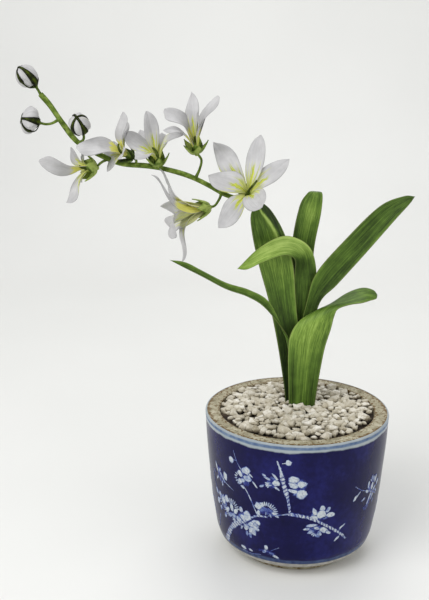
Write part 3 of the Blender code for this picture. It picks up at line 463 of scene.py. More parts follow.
def through(stops, place, value=1):
    """The value at a place on a smooth line through stops, which start with their places."""
    last = len(stops) - 1
    span = 0
    while span < last - 1 and place > stops[span + 1][0]:
        span += 1
    start, end = stops[span], stops[span + 1]
    before, after = stops[max(span - 1, 0)], stops[min(span + 2, last)]
    width = end[0] - start[0]
    slope_in = (end[value] - before[value]) / (end[0] - before[0])
    slope_out = (after[value] - start[value]) / (after[0] - start[0])
    t = min(1.0, max(0.0, (place - start[0]) / width))
    return ((2 * t ** 3 - 3 * t ** 2 + 1) * start[value] + (t ** 3 - 2 * t ** 2 + t) * width * slope_in
            + (3 * t ** 2 - 2 * t ** 3) * end[value] + (t ** 3 - t ** 2) * width * slope_out)


def frame_of(faces, turn):
    """The axis something faces along, the way out from it at a turn, and the way square to both."""
    axis = Vector(faces).normalized()
    across = Vector((0, 0, 1)).cross(axis).normalized()
    outward = across * math.cos(turn) + axis.cross(across) * math.sin(turn)
    return axis, outward, axis.cross(outward)


def around(plant, turn, height, radius):
    """The place at a height along the axis of a bloom, bud or bed, and at a radius from it at a turn."""
    axis, outward, _ = frame_of(plant["faces"], turn)
    return Vector(plant["centre"]) + axis * height + outward * radius


def ahead(places, index):
    """The way from the place before one to the place after it."""
    return places[min(index + 1, len(places) - 1)] - places[max(index - 1, 0)]


def pairs(ring):
    """Each item of a closed ring with the one after it."""
    return zip(ring, ring[1:] + ring[:1])


def new_mesh(name, points, faces, materials):
    mesh = bpy.data.meshes.new(name)
    mesh.from_pydata(points, [], faces)
    for material in materials:
        mesh.materials.append(material)
    return mesh


def new_object(name, data):
    item = bpy.data.objects.new(name, data)
    bpy.context.scene.collection.objects.link(item)
    return item


class Shape:
    """Points and faces gathered for one piece, with the marks that its materials read.

    A mark is the share across a blade, the share along it, and its side: 1 in front and 0 behind.
    A tone says how light the colour is there, painted light and shade included on leaves and stones.
    Paint and petals read them in their own ways.
    """

    def __init__(self):
        self.points = []
        self.marks = []
        self.tones = []
        self.faces = []
        self.slots = []

    def point(self, place, mark=(0.5, 0.5, 1.0), tone=0.5):
        self.points.append(Vector(place) * MM)
        self.marks.append(mark)
        self.tones.append(tone)
        return len(self.points) - 1

    def face(self, corners, slot=0):
        self.faces.append(corners)
        self.slots.append(slot)

    def ring(self, count, place_at, along=0.5, tone=0.5):
        """A closed ring of points, from the place at each turn."""
        ring = []
        for k in range(count):
            ring.append(self.point(place_at(math.tau * k / count), (k / count, along, 1.0), tone))
        return ring

    def rings(self, rings, slot=0):
        """Faces between closed rings of points, each ring anticlockwise round the way they follow."""
        for low, high in zip(rings, rings[1:]):
            for (a, b), (c, d) in zip(pairs(low), pairs(high)):
                self.face((a, b, d, c), slot)

    def tube(self, rings, slot=0):
        """Rings with a flat face over both ends."""
        self.rings(rings, slot)
        self.face(tuple(reversed(rings[0])), slot)
        self.face(tuple(rings[-1]), slot)

    def fan(self, ring, middle, slot=0):
        """Faces between a closed ring of points and the one in its middle."""
        for start, end in pairs(ring):
            self.face((start, end, middle), slot)

    def piece(self, name, materials, nodes, sharp=180):
        """The finished object: it rides on the root body and stands for the named CAD nodes."""
        mesh = new_mesh(name, self.points, self.faces, materials)
        mark = mesh.attributes.new("mark", "FLOAT_VECTOR", "POINT")
        mark.data.foreach_set("vector", [value for item in self.marks for value in item])
        tone = mesh.attributes.new("tone", "FLOAT", "POINT")
        tone.data.foreach_set("value", self.tones)
        mesh.polygons.foreach_set("material_index", self.slots)
        mesh.validate()
        mesh.shade_smooth()
        if sharp < 180:
            mesh.set_sharp_from_angle(angle=math.radians(sharp))
        item = new_object(name, mesh)
        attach(item, "root")
        if nodes:
            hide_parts(*nodes)


def thinned(half, edge, power, tip=0.0, reach=1):
    """A blade's half thickness at the shares across and along: a share of it at its edges and tip."""
    return lambda u, v: half * (edge + (1 - edge) * (1 - abs(2 * u - 1) ** power)) * (1 - tip * v ** reach)


def add_blade(shape, rows, half, tone, slot=0):
    """A closed blade round a grid of points; half thickness and tone depend on the shares."""
    last, edge = len(rows) - 1, len(rows[0]) - 1
    columns = list(zip(*rows))
    normals, front, back = [], [], []
    for i, row in enumerate(rows):
        for grid in (normals, front, back):
            grid.append([])
        for j, place in enumerate(row):
            square = ahead(row, j).cross(ahead(columns[j], i))
            normal = square.normalized() if square.length > NO_LENGTH else normals[i - 1][j]
            normals[i].append(normal)
            u, v = j / edge, i / last
            depth = normal * half(u, v)
            front[i].append(shape.point(place + depth, (u, v, 1.0), tone(u, v)))
            back[i].append(shape.point(place - depth, (u, v, 0.0), tone(u, v)))
    for i in range(last):
        for j in range(edge):
            shape.face((front[i][j], front[i][j + 1], front[i + 1][j + 1], front[i + 1][j]), slot)
            shape.face((back[i][j], back[i + 1][j], back[i + 1][j + 1], back[i][j + 1]), slot)
        shape.face((front[i][0], front[i + 1][0], back[i + 1][0], back[i][0]), slot)
        shape.face((front[i][edge], back[i][edge], back[i + 1][edge], front[i + 1][edge]), slot)
    for j in range(edge):
        shape.face((front[0][j], back[0][j], back[0][j + 1], front[0][j + 1]), slot)
        shape.face((front[last][j], front[last][j + 1], back[last][j + 1], back[last][j]), slot)


def add_tube(shape, route, radius, sides, tone=0.5):
    """A closed round tube along a route; its radius depends on the share along it."""
    across = None
    rings = []
    for i, place in enumerate(route):
        share = i / (len(route) - 1)
        along = ahead(route, i).normalized()
        across = along.orthogonal() if across is None else across - along * across.dot(along)
        across.normalize()
        up = along.cross(across)

        def place_at(turn):
            return place + (across * math.cos(turn) + up * math.sin(turn)) * radius(share)

        rings.append(shape.ring(sides, place_at, share, tone))
    shape.tube(rings)


def add_turned(shape, plant, profile, sides, tone=0.5, slot=0):
    """A closed turned form round the axis of a bloom, bud or bed, from heights and radii."""
    rings = []
    for height, radius in profile:
        rings.append(shape.ring(sides, lambda turn: around(plant, turn, height, radius), 0.0, tone))
    shape.tube(rings, slot)


def colour(red, green, blue):
    """A shader colour from the 0 to 255 values that a screen shows."""
    values = []
    for value in (red, green, blue):
        share = value / 255
        values.append(share / 12.92 if share <= 0.04045 else ((share + 0.055) / 1.055) ** 2.4)
    return (*values, 1.0)


class Value:
    """The output of a shader node, which can be added, subtracted and multiplied."""

    def __init__(self, tree, socket):
        self.tree = tree
        self.socket = socket

    def calc(self, operation, second=0.0):
        return node(self.tree, "ShaderNodeMath", {0: self, 1: second}, operation=operation)

    def __add__(self, other):
        return self.calc("ADD", other)

    def __sub__(self, other):
        return self.calc("SUBTRACT", other)

    def __rsub__(self, other):
        return self * -1.0 + other

    def __mul__(self, other):
        return self.calc("MULTIPLY", other)


def node(tree, kind, inputs, output=0, **settings):
    """An output of a new shader node, with each input set to a number or linked to a value."""
    item = tree.nodes.new(kind)
    for name, value in settings.items():
        setattr(item, name, value)
    for key, value in inputs.items():
        if isinstance(value, Value):
            tree.links.new(value.socket, item.inputs[key])
        else:
            item.inputs[key].default_value = value
    return Value(tree, item.outputs[output])


def swing(value, share):
    """A share of how far a value lies above or below a half."""
    return (value - 0.5) * share


def off_middle(value):
    """How far a value lies from a half."""
    return (value - 0.5).calc("ABSOLUTE")


def mix(share, first, second):
    """A share of the second colour over the first; each is a value, or red, green and blue."""
    shades = [colour(*shade) if isinstance(shade, tuple) else shade for shade in (first, second)]
    inputs = {0: share, 6: shades[0], 7: shades[1]}
    return node(share.tree, "ShaderNodeMix", inputs, 2, data_type="RGBA")


def noise_at(place, scale, detail=3.0, roughness=0.55):
    inputs = {"Vector": place, "Scale": scale, "Detail": detail, "Roughness": roughness}
    return node(place.tree, "ShaderNodeTexNoise", inputs)


def vector_of(x, y, z=0.0):
    return node(x.tree, "ShaderNodeCombineXYZ", {0: x, 1: y, 2: z})


def brushed(across, along, wide, long, layer=0.0, detail=3.0):
    """Noise drawn out along a blade, wide times as fine across it and long times as fine along it."""
    return noise_at(vector_of(across * wide, along * long, layer), 1.0, detail)


def ramp(value, *stops):
    """A colour from a value, through stops of a place and red, green and blue."""
    item = value.tree.nodes.new("ShaderNodeValToRGB")
    elements = item.color_ramp.elements
    while len(elements) < len(stops):
        elements.new(0.5)
    for element, (place, *shade) in zip(elements, stops):
        element.position = place
        element.color = colour(*shade)
    value.tree.links.new(value.socket, item.inputs[0])
    return Value(value.tree, item.outputs[0])


def step_up(value, low, high):
    """0 at low, 1 at high and a smooth rise between them; it falls where high is below low."""
    inputs = {"Value": value, "From Min": low, "From Max": high, "To Min": 0.0, "To Max": 1.0}
    return node(value.tree, "ShaderNodeMapRange", inputs, interpolation_type="SMOOTHSTEP")


def split(vector):
    """The three numbers of a vector."""
    item = vector.tree.nodes.new("ShaderNodeSeparateXYZ")
    vector.tree.links.new(vector.socket, item.inputs[0])
    return [Value(vector.tree, socket) for socket in item.outputs]


def marks(tree):
    """The share across, the share along and the side that each point is marked with."""
    return split(node(tree, "ShaderNodeAttribute", {}, "Vector", attribute_name="mark"))


def tone_of(tree):
    return node(tree, "ShaderNodeAttribute", {}, "Fac", attribute_name="tone")


def object_place(tree):
    """Places on the object itself, in metres."""
    return node(tree, "ShaderNodeTexCoord", {}, "Object")


def new_material(name, roughness, specular=0.5):
    """A material with a plain shader, and its node tree."""
    material = bpy.data.materials.new(name)
    material.use_nodes = True
    shader = material.node_tree.nodes["Principled BSDF"]
    shader.inputs["Roughness"].default_value = roughness
    shader.inputs["Specular IOR Level"].default_value = specular
    return material, material.node_tree


def dressed(material, base, height=None, strength=0.25, distance=0.0003):
    """The material with its colour, and with a bump where there is a height."""
    shader = base.tree.nodes["Principled BSDF"]
    base.tree.links.new(base.socket, shader.inputs["Base Color"])
    if height:
        inputs = {"Height": height, "Strength": strength, "Distance": distance}
        base.tree.links.new(node(base.tree, "ShaderNodeBump", inputs).socket, shader.inputs["Normal"])
    return material


def leaf_material():
    """Greens brushed along the blade in long strokes, with a paler margin and a thin brown edge."""
    material, tree = new_material("painted_leaf", 0.5, 0.18)
    across, along, _ = marks(tree)
    place = object_place(tree)
    drift = noise_at(place, 30.0)
    # The tone brings the leaf's painted light and shade
    value = tone_of(tree) + swing(noise_at(place, 150.0, 4.0), 0.3)
    for wide, long, share in LEAF_STROKES:
        strokes = brushed(across, along, wide, long, drift)
        value += swing(strokes, share)
    base = ramp(value, (0.0, 20, 32, 6), (0.25, 46, 66, 18), (0.5, 80, 108, 38), (0.75, 122, 150, 62),
                (1.0, 164, 188, 98))
    margin = off_middle(across)
    base = mix(step_up(margin, 0.45, 0.48) * 0.3, base, (150, 172, 96))
    base = mix(step_up(margin, 0.482, 0.495) * 0.6, base, (78, 66, 30))
    return dressed(material, base, strokes)


def petal_strokes(across, along, tone, brush):
    """Where a petal is green-yellow: a wavering stroke along its middle, and rays beside it."""
    wobble = noise_at(vector_of(along * 2.5, tone), 4.0, 2.0)
    middle = off_middle(across + swing(wobble, 0.3))
    stroke = step_up(0.2 - along * 0.2 - middle, 0.0, 0.03) * step_up(along, 0.64, 0.5)
    rays = step_up(brush * 1.6 - along * 1.2, 0.22, 0.34) * 0.8
    strong = tone.calc("GREATER_THAN", 0.0) * 0.3 + 0.7
    return stroke.calc("MAXIMUM", rays) * strong


def petal_material():
    """Grey-white petals, greyer with painted shade on their backs, with green-yellow brush strokes from the
    throat, or with a yellow patch there.
    """
    material, tree = new_material("petal", 0.55, 0.25)
    across, along, side = marks(tree)
    tone = tone_of(tree)
    fine = brushed(across, along, 42.0, 3.0, tone)
    shade = noise_at(object_place(tree), 90.0) * 0.6 + fine * 0.4
    base = ramp(shade, (0.3, 160, 159, 159), (0.5, 182, 181, 181), (0.7, 203, 202, 202))
    margin = off_middle(across)
    base = mix(step_up(margin, 0.46, 0.5) * 0.5, base, (124, 124, 120))
    # Painted shade: the back of each petal is greyer
    base = mix((1.0 - side) * 0.2, base, (164, 163, 164))
    brush = brushed(across, along, 15.0, 1.2, tone, 2.0)
    green = mix(step_up(fine, 0.38, 0.52), (136, 152, 54), (200, 204, 84))
    streaked = mix(petal_strokes(across, along, tone, brush), base, green)
    square = step_up(along + swing(brush, 0.22), 0.44, 0.38) * step_up(margin, 0.5, 0.45)
    patched = mix(square, base, mix(fine, (168, 164, 62), (234, 232, 128)))
    return dressed(material, mix(tone.calc("GREATER_THAN", 1.0), streaked, patched), fine)


def green_material(name, dark, middle, light):
    """A soft, clouded plant green with fine lines along it."""
    material, tree = new_material(name, 0.6, 0.12)
    across, along, _ = marks(tree)
    lines = brushed(across, along, 14.0, 1.0)
    value = tone_of(tree) + swing(noise_at(object_place(tree), 260.0), 1.9) + swing(lines, 0.8)
    return dressed(material, ramp(value, (0.0, *dark), (0.5, *middle), (1.0, *light)), lines)


def stone_material():
    """Pale beige stone, with a tone for each stone that also holds painted shade towards its foot, and
    chalky mottling in it.
    """
    material, tree = new_material("pale_stone", 0.9)
    place = object_place(tree)
    mottle = noise_at(place, 420.0, 4.0, 0.65)
    grit = noise_at(place, 1800.0, 2.0)
    base = ramp(tone_of(tree) + swing(mottle, 0.8), (0.0, 52, 44, 32), (0.25, 116, 106, 84),
                (0.5, 170, 162, 142), (0.75, 200, 194, 179), (1.0, 226, 223, 214))
    return dressed(material, base, mottle + grit * 0.3, 0.5, 0.0006)


def soil_material():
    material, tree = new_material("damp_soil", 0.95)
    crumbs = noise_at(object_place(tree), 260.0, 5.0)
    return dressed(material, ramp(crumbs, (0.3, 26, 19, 13), (0.7, 74, 58, 42)), crumbs, 0.8, 0.002)


def glaze_material():
    """Cobalt glaze between pale bands with a blue line, by height on the pot."""
    material, tree = new_material("cobalt_glaze", 0.25, 0.13)
    place = object_place(tree)
    height = split(place)[2].calc("DIVIDE", MM)
    waver = swing(noise_at(place, 75.0), 3.2)
    ragged = height + waver
    even = height + waver * 0.3
    wash = noise_at(place, 24.0, 5.0, 0.6)
    speck = noise_at(place, 300.0)
    cobalt = ramp(wash + swing(speck, 0.3), (0.25, 9, 9, 46), (0.5, 15, 14, 62), (0.75, 28, 30, 94))
    line = ramp(speck, (0.3, 70, 90, 124), (0.7, 112, 130, 152))
    low_line = ramp(speck, (0.3, 38, 50, 88), (0.7, 66, 82, 116))
    pale = ramp(wash, (0.3, 134, 146, 154), (0.7, 168, 174, 174))
    base = ramp(speck, (0.3, 138, 136, 128), (0.7, 176, 172, 164))
    bands = [(even, FOOT_LINE_LOW, low_line), (ragged, COBALT_LOW, cobalt), (ragged, COBALT_HIGH, pale),
             (even, RIM_LINE_LOW, line), (even, RIM_LINE_HIGH, pale)]
    for edge, heights, band in bands:
        base = mix(step_up(edge, *heights), base, band)
    return dressed(material, base, wash, 0.12, 0.001)


def clay_material():
    """Bare fired clay of the rim and foot, tan-grey with brown iron specks near the rim's outer edge, and
    specks that gather thicker at the mouth's edge and darken it.
    """
    material, tree = new_material("bare_clay", 0.85)
    place = object_place(tree)
    x, y, _ = split(place)
    radius = (x * x + y * y).calc("SQRT").calc("DIVIDE", MM)
    outer = step_up(radius, RIM_RADIUS - 4.5, RIM_RADIUS - 1.0)
    # Specks gather thicker at the mouth's edge, which darkens it
    inner = step_up((radius - MOUTH_RADIUS).calc("ABSOLUTE"), 3.0, 0.5) * 0.5
    cloud = noise_at(place, 150.0, 4.0, 0.6)
    specks = noise_at(place, 480.0, 4.0, 0.7)
    base = ramp(cloud, (0.3, 122, 116, 92), (0.5, 156, 149, 124), (0.7, 184, 178, 156))
    reach = specks + outer.calc("MAXIMUM", inner) * 0.13
    base = mix(step_up(reach, 0.54, 0.6), base, (98, 74, 34))
    return dressed(material, base, specks + cloud, 0.6, 0.0006)


def paint_material():
    """White slip left in the cobalt, washed and streaked with blue, with blue lines across some strokes."""
    material, tree = new_material("plum_white", 0.22, 0.15)
    across, along, hatched = marks(tree)
    place = object_place(tree)
    wash = noise_at(place, 230.0, 4.0, 0.6)
    base = ramp(swing(wash, 1.7) + tone_of(tree), (0.0, 18, 18, 74), (0.22, 30, 34, 104),
                (0.42, 84, 102, 158), (0.62, 146, 160, 184), (0.9, 186, 193, 196))
    lines = ((along + across * 0.25 + wash * 1.6) * math.tau).calc("SINE")
    base = mix(step_up(lines, 0.1, 0.6) * hatched * 0.85, base, (30, 36, 110))
    streaks = off_middle(noise_at(place, 420.0))
    base = mix(step_up(streaks, 0.035, 0.0) * 0.6, base, (52, 64, 130))
    return dressed(material, base)


def pot_profile():
    """Radii, heights and slots of the pot's section, from its floor over the rim down to the foot."""
    rim = [(MOUTH_RADIUS, POT_HEIGHT - BEVEL), (MOUTH_RADIUS + BEVEL * 0.3, POT_HEIGHT - BEVEL * 0.3)]
    rim += [(MOUTH_RADIUS + BEVEL + RIM_STEP * step, POT_HEIGHT) for step in range(4)]
    rim += [(RIM_RADIUS - BEVEL, POT_HEIGHT), (RIM_RADIUS - BEVEL * 0.55, POT_HEIGHT - BEVEL * 0.12),
            (RIM_RADIUS - BEVEL * 0.2, POT_HEIGHT - BEVEL * 0.45), (RIM_RADIUS, POT_HEIGHT - BEVEL)]
    side = smooth_curve([(*point, 0) for point in [rim[-1]] + POT_SIDE], 6)
    foot = [(FOOT_RADIUS, FOOT_HEIGHT - BEVEL), (FOOT_RADIUS, BEVEL / 2), (FOOT_RADIUS - BEVEL / 2, 0)]
    inside = [(*point, CLAY_SLOT) for point in POT_INSIDE + rim[:-3]]
    outside = [(*point, GLAZE_SLOT) for point in rim[-3:] + [place[:2] for place in side[1:]]]
    return inside + outside + [(*point, CLAY_SLOT) for point in foot]


def make_pot(glaze, clay):
    """The pot, with a wall and a rim that are a little uneven."""
    shape = Shape()
    rings = []
    profile = pot_profile()
    for radius, height, _ in profile:

        def place_at(turn):
            wave = noise.noise(Vector((math.cos(turn) * 3, math.sin(turn) * 3, height / 14)))
            reach = radius - (WALL_WAVE * (1 + wave) if FOOT_HEIGHT < height < POT_HEIGHT - BEVEL else 0)
            top = height - (RIM_WAVE * (1 + wave) if height > POT_HEIGHT - 0.1 else 0)
            return reach * math.cos(turn), reach * math.sin(turn), top

        rings.append(shape.ring(POT_SEGMENTS, place_at))
    for low, high, (_, _, slot) in zip(rings, rings[1:], profile[1:]):
        shape.rings([low[::-1], high[::-1]], slot)
    shape.fan(rings[0], shape.point((0, 0, FLOOR_THICKNESS)), CLAY_SLOT)
    shape.fan(rings[-1][::-1], shape.point((0, 0, 0)), CLAY_SLOT)
    shape.piece("glazed_pot", [glaze, clay], ["pot"], 50)


def wall_radius(height):
    """The radius of the pot's outer wall at a height."""
    wall = [(RIM_RADIUS, POT_HEIGHT - BEVEL)] + POT_SIDE
    for (r_high, z_high), (r_low, z_low) in zip(wall, wall[1:]):
        if height >= z_low:
            return r_low + (r_high - r_low) * (height - z_low) / (z_high - z_low)
    return FOOT_RADIUS


def degrees_a_mm(height):
    """The turn round the pot that moves a place on its wall by a millimetre."""
    return math.degrees(1 / wall_radius(height))


def on_wall(degrees, height, proud):
    turn = math.radians(degrees)
    radius = wall_radius(height) + proud
    return (radius * math.sin(turn), -radius * math.cos(turn), height)


def add_patch(shape, centre, outline, tone, proud):
    """A thin closed patch of paint on the wall; its places are in degrees and height."""

    def painted(place, height, lightness=tone):
        return shape.point(on_wall(*place, height), (0, 0, 0), lightness)

    deep = [shape.point(on_wall(*place, -PAINT_DEPTH), tone=tone) for place in outline]
    rim = [painted(place, proud * 0.9, tone - EDGE_BLUE) for place in outline]
    inner = []
    for place in outline:
        inner.append(painted([c + (p - c) * PATCH_INNER for c, p in zip(centre, place)], proud))
    shape.rings([deep, rim, inner])
    shape.fan(inner, painted(centre, proud))
    shape.fan(deep[::-1], painted(centre, -PAINT_DEPTH))


def add_oval(shape, place, length, width, turn, tone, chance, proud=PAINT_PROUD):
    """A painted petal or leaf: round where it is broad, and pointed at its far end where it is narrow."""
    degree = degrees_a_mm(place[1])
    length, width = length * OVAL_GROWTH, width * OVAL_GROWTH
    proud *= chance.uniform(*OVAL_HEIGHTS)
    c, s = math.cos(math.radians(turn)), math.sin(math.radians(turn))
    point = max(0.0, 0.9 - 1.3 * width / length)
    outline = []
    for step in range(OVAL_POINTS):
        angle = math.tau * step / OVAL_POINTS
        across = width / 2 * math.sin(angle) * (1 - point * (1 + math.cos(angle)) / 2)
        across *= chance.uniform(*OVAL_WIDTHS)
        along = length / 2 * math.cos(angle) * chance.uniform(*OVAL_LENGTHS)
        outline.append((place[0] + (c * along - s * across) * degree, place[1] + s * along + c * across))
    add_patch(shape, place, outline, tone, proud)


def add_fan(shape, place, start, end, first, last, count, tone, chance):
    """Short painted rays round part of a blossom."""
    degree = degrees_a_mm(place[1])
    reach = (start + end) / 2
    for index in range(count):
        turn = first + (last - first) * index / (count - 1)
        c, s = math.cos(math.radians(turn)), math.sin(math.radians(turn))
        middle = (place[0] + c * reach * degree, place[1] + s * reach)
        length = (end - start) * chance.uniform(*RAY_LENGTHS)
        add_oval(shape, middle, length, RAY_WIDTH, turn + 180, tone, chance)


def add_stroke(shape, places, start_width, end_width, tone, hatched, chance):
    """A painted ribbon with slightly uneven edges; a hatched one is marked for blue lines across."""
    line = smooth_curve([(*place, 0) for place in places], 8)
    last = len(line) - 1
    top, low = [], []
    run = 0.0
    for i, place in enumerate(line):
        degree = degrees_a_mm(place[1])
        turn, rise, _ = ahead(line, i)
        way = Vector((turn / degree, rise)).normalized()
        if i:
            step = place - line[i - 1]
            run += math.hypot(step[0] / degree, step[1])
        half = (start_width + (end_width - start_width) * i / last) * 0.5 * chance.uniform(*STROKE_WIDTHS)
        ring, under = [], []
        for side, proud, blue in STROKE_SECTION:
            spot = (place[0] - side * way[1] * half * degree, place[1] + side * way[0] * half)
            mark = (side, run / HATCH_STEP, 1.0 if hatched else 0.0)
            ring.append(shape.point(on_wall(*spot, PAINT_PROUD * proud), mark, tone - blue))
            if abs(side) == 1.0:
                under.append(shape.point(on_wall(*spot, -PAINT_DEPTH)))
        top.append(ring)
        low.append(under)
    for a, b, (left, right), (next_left, next_right) in zip(top, top[1:], low, low[1:]):
        for j in range(3):
            shape.face((a[j], a[j + 1], b[j + 1], b[j]))
        shape.face((left, a[0], b[0], next_left))
        shape.face((a[3], right, next_right, b[3]))
        shape.face((right, left, next_left, next_right))
    shape.face((*low[0], *reversed(top[0])))
    shape.face((*top[-1], *reversed(low[-1])))


def add_spray(shape, spray, shift, side, chance):
    """One set of branches and blossoms, turned round the pot and mirrored where side is -1."""
    washes, strokes, ovals, fans = spray

    def placed(place):
        return place[0] * side + shift, place[1]

    def turned(degrees):
        return degrees if side > 0 else 180 - degrees

    for *place, length, width, turn in washes:
        add_oval(shape, placed(place), length / OVAL_GROWTH, width / OVAL_GROWTH, turned(turn), WASH_TONE,
                 chance, WASH_PROUD)
    for places, *look in strokes:
        add_stroke(shape, [placed(place) for place in places], *look, chance)
    for *place, length, width, turn, tone in ovals:
        add_oval(shape, placed(place), length, width, turned(turn), tone, chance)
    for *place, start, end, first, last, count, tone in fans:
        first, last = sorted((turned(first), turned(last)))
        add_fan(shape, placed(place), start, end, first, last, count, tone, chance)


def make_painting(material):
    """The white plum sprays round the pot."""
    shape = Shape()
    chance = random.Random(5)
    for shift, side in SPRAYS:
        add_spray(shape, (WASHES, STROKES, OVALS, FANS), shift, side, chance)
    add_spray(shape, (RIGHT_WASHES, RIGHT_STROKES, RIGHT_OVALS, RIGHT_FANS), 0, 1, chance)
    shape.piece("painted_plum_sprays", [material], [])


def bed_height(radius):
    """The gravel lies a little higher in the middle than at the wall."""
    share = min(1.0, radius / MOUTH_RADIUS)
    return BED_EDGE_TOP + (BED_CENTRE_TOP - BED_EDGE_TOP) * (1 - share ** 2)


def stone_solid(centre, size, chance):
    """An angular stone: the hull of points spread round it, with worn edges and a rough surface."""
    solid = bmesh.new()
    stretch = [chance.uniform(*limits) for limits in STONE_STRETCH]
    turn = chance.uniform(0, math.tau)
    corners = chance.randint(*STONE_CORNERS)
    lean = Vector((chance.uniform(*STONE_LEAN), chance.uniform(*STONE_LEAN), 1)).normalized()
    spin = Vector((0, 0, 1)).rotation_difference(lean)
    for corner in range(corners):
        height = 1 - 2 * (corner + 0.5) / corners
        ring = math.sqrt(1 - height * height)
        angle = corner * GOLDEN_ANGLE + turn + chance.uniform(-0.4, 0.4)
        reach = size * chance.uniform(*STONE_REACH)
        point = Vector((ring * math.cos(angle) * stretch[0], ring * math.sin(angle) * stretch[1],
                        height * stretch[2])) * reach
        solid.verts.new(centre + spin @ point)
    bmesh.ops.convex_hull(solid, input=solid.verts)
    loose = [vertex for vertex in solid.verts if not vertex.link_faces]
    bmesh.ops.delete(solid, geom=loose, context="VERTS")
    limit = math.radians(STONE_FLATNESS)
    bmesh.ops.dissolve_limit(solid, angle_limit=limit, verts=solid.verts, edges=solid.edges)
    bmesh.ops.bevel(solid, geom=solid.edges[:], offset=size * STONE_WEAR, segments=1, affect="EDGES")
    bmesh.ops.triangulate(solid, faces=solid.faces)
    bmesh.ops.subdivide_edges(solid, edges=solid.edges, cuts=1, use_grid_fill=True)
    bmesh.ops.recalc_face_normals(solid, faces=solid.faces)
    for vertex in solid.verts:
        knob = noise.fractal((vertex.co + Vector((0, 0, 40 * turn))) * 0.8, 0.7, 2.1, 3)
        vertex.co += (vertex.co - centre).normalized() * knob * size * STONE_ROUGHNESS
    return solid


def add_stone(shape, centre, size, tone, chance):
    """A stone drawn in from the pot's wall, with painted shade on its lower sides, where it meets the gaps
    between stones.
    """
    solid = stone_solid(centre, size, chance)
    reach = max(math.hypot(vertex.co.x, vertex.co.y) for vertex in solid.verts)
    excess = max(0.0, reach - MOUTH_RADIUS + GAP)
    inward = Vector((centre.x, centre.y, 0)).normalized() * excess
    solid.verts.index_update()
    first = len(shape.points)
    for vertex in solid.verts:
        rise = (vertex.co.z - centre.z) / size
        # Painted shade, growing towards the stone's foot
        shape.point(vertex.co - inward, tone=tone - STONE_GAP_SHADE * max(0.0, GAP_SHADE_TOP - rise))
    for face in solid.faces:
        shape.face(tuple(first + vertex.index for vertex in face.verts))
    solid.free()


def make_gravel(stone, soil):
    """Single stones over a dark bed that fills the gaps between them."""
    shape = Shape()
    chance = random.Random(23)
    bed = [(SOIL_TOP + GAP, BED_FOOT_RADIUS), (BED_EDGE_TOP - BED_DEPTH, MOUTH_RADIUS - GAP)]
    bed += [(bed_height(radius) - BED_DEPTH, radius) for radius in BED_RADII]
    add_turned(shape, BED, bed, BED_SEGMENTS, BED_TONE, 1)
    for index in range(STONE_COUNT):
        small, large = STONE_RADIUS
        size = small + (large - small) * chance.random() ** SMALL_STONES
        if index % (STONE_COUNT // BIG_STONES) == FIRST_BIG_STONE:
            size = large * BIG_STONE_GROWTH
        radius = (MOUTH_RADIUS - GAP - size * 0.7) * math.sqrt((index + 0.5) / STONE_COUNT)
        angle = index * GOLDEN_ANGLE + chance.uniform(-0.05, 0.05)
        height = bed_height(radius) - size * 0.5 + chance.uniform(*STONE_LIFT)
        tone = chance.uniform(*(PALE_TONES if chance.random() < PALE_STONES else DARK_TONES))
        centre = Vector((radius * math.cos(angle), radius * math.sin(angle), height))
        add_stone(shape, centre, size, tone, chance)
    shape.piece("gravel_stones", [stone, soil], ["gravel"], 22)


def leaf_rows(leaf):
    """Rows across a leaf between its margins, with its hollow, its ridge and its fine veins."""
    left, right = [smooth_curve(margin, LEAF_STEPS) for margin in zip(*leaf["margins"])]
    middle = [(a + b) / 2 for a, b in zip(left, right)]
    rows = []
    normal = Vector((0, -1, 0))
    for i, start in enumerate(left):
        v = i / (len(left) - 1)
        across = right[i] - start
        square = across.cross(ahead(middle, i))
        if square.length > NO_LENGTH:
            normal = square.normalized()
        bulge = leaf["cup"] * math.sin(math.pi * v) * across.length
        crest, lift = [through(leaf.get("ridge", NO_RIDGE), v, value) for value in (1, 2)]
        row = []
        for j in range(LEAF_COLUMNS + 1):
            s = j / LEAF_COLUMNS
            rise = bulge * 4 * s * (1 - s)
            rise += max(0.0, lift) * (s / crest if s < crest else (1 - s) / (1 - crest))
            rise += VEIN_HEIGHT * math.sin(math.tau * VEIN_COUNT * s) * min(1.0, across.length / 8)
            row.append(start + across * s + normal * rise)
        rows.append(row)
    return rows


def make_leaf(name, leaf, material):
    """A leaf's blade, with a painted highlight along the crest of a ridge and painted shade to its right.
    """

    def tone(u, v):
        left, middle, right = [through(leaf["tones"], v, value) for value in (1, 2, 3)]
        crest, lift = [through(leaf.get("ridge", NO_RIDGE), v, value) for value in (1, 2)]
        # A painted highlight along the crest, and painted shade to its right
        ridge = 0.26 * math.exp(-((u - crest) / 0.06) ** 2) - (0.1 if u > crest else 0.0)
        return through([(0.0, left), (0.5, middle), (1.0, right)], u) + max(0.0, lift) * ridge

    shape = Shape()
    add_blade(shape, leaf_rows(leaf), thinned(LEAF_HALF_THICKNESS, 0.35, 5, 0.5, 6), tone)
    shape.piece(name + "_blade", [material], [name])


def curved_path(controls, rows, flick=0.0):
    """(radius, height) places along a cubic curve; flick turns its outer half outwards, in degrees."""
    a, b, c, d = [Vector(control) for control in controls]
    curve = []
    for i in range(rows + 1):
        t = i / rows
        s = 1 - t
        curve.append(a * s ** 3 + b * 3 * s * s * t + c * 3 * s * t * t + d * t ** 3)
    path = [curve[0]]
    for i in range(rows):
        turn = math.radians(flick) * max(0.0, (i + 0.5) / rows * 2 - 1) ** 2
        run, rise = curve[i + 1] - curve[i]
        path.append(path[-1] + Vector((run * math.cos(turn) + rise * math.sin(turn),
                                       rise * math.cos(turn) - run * math.sin(turn))))
    return path


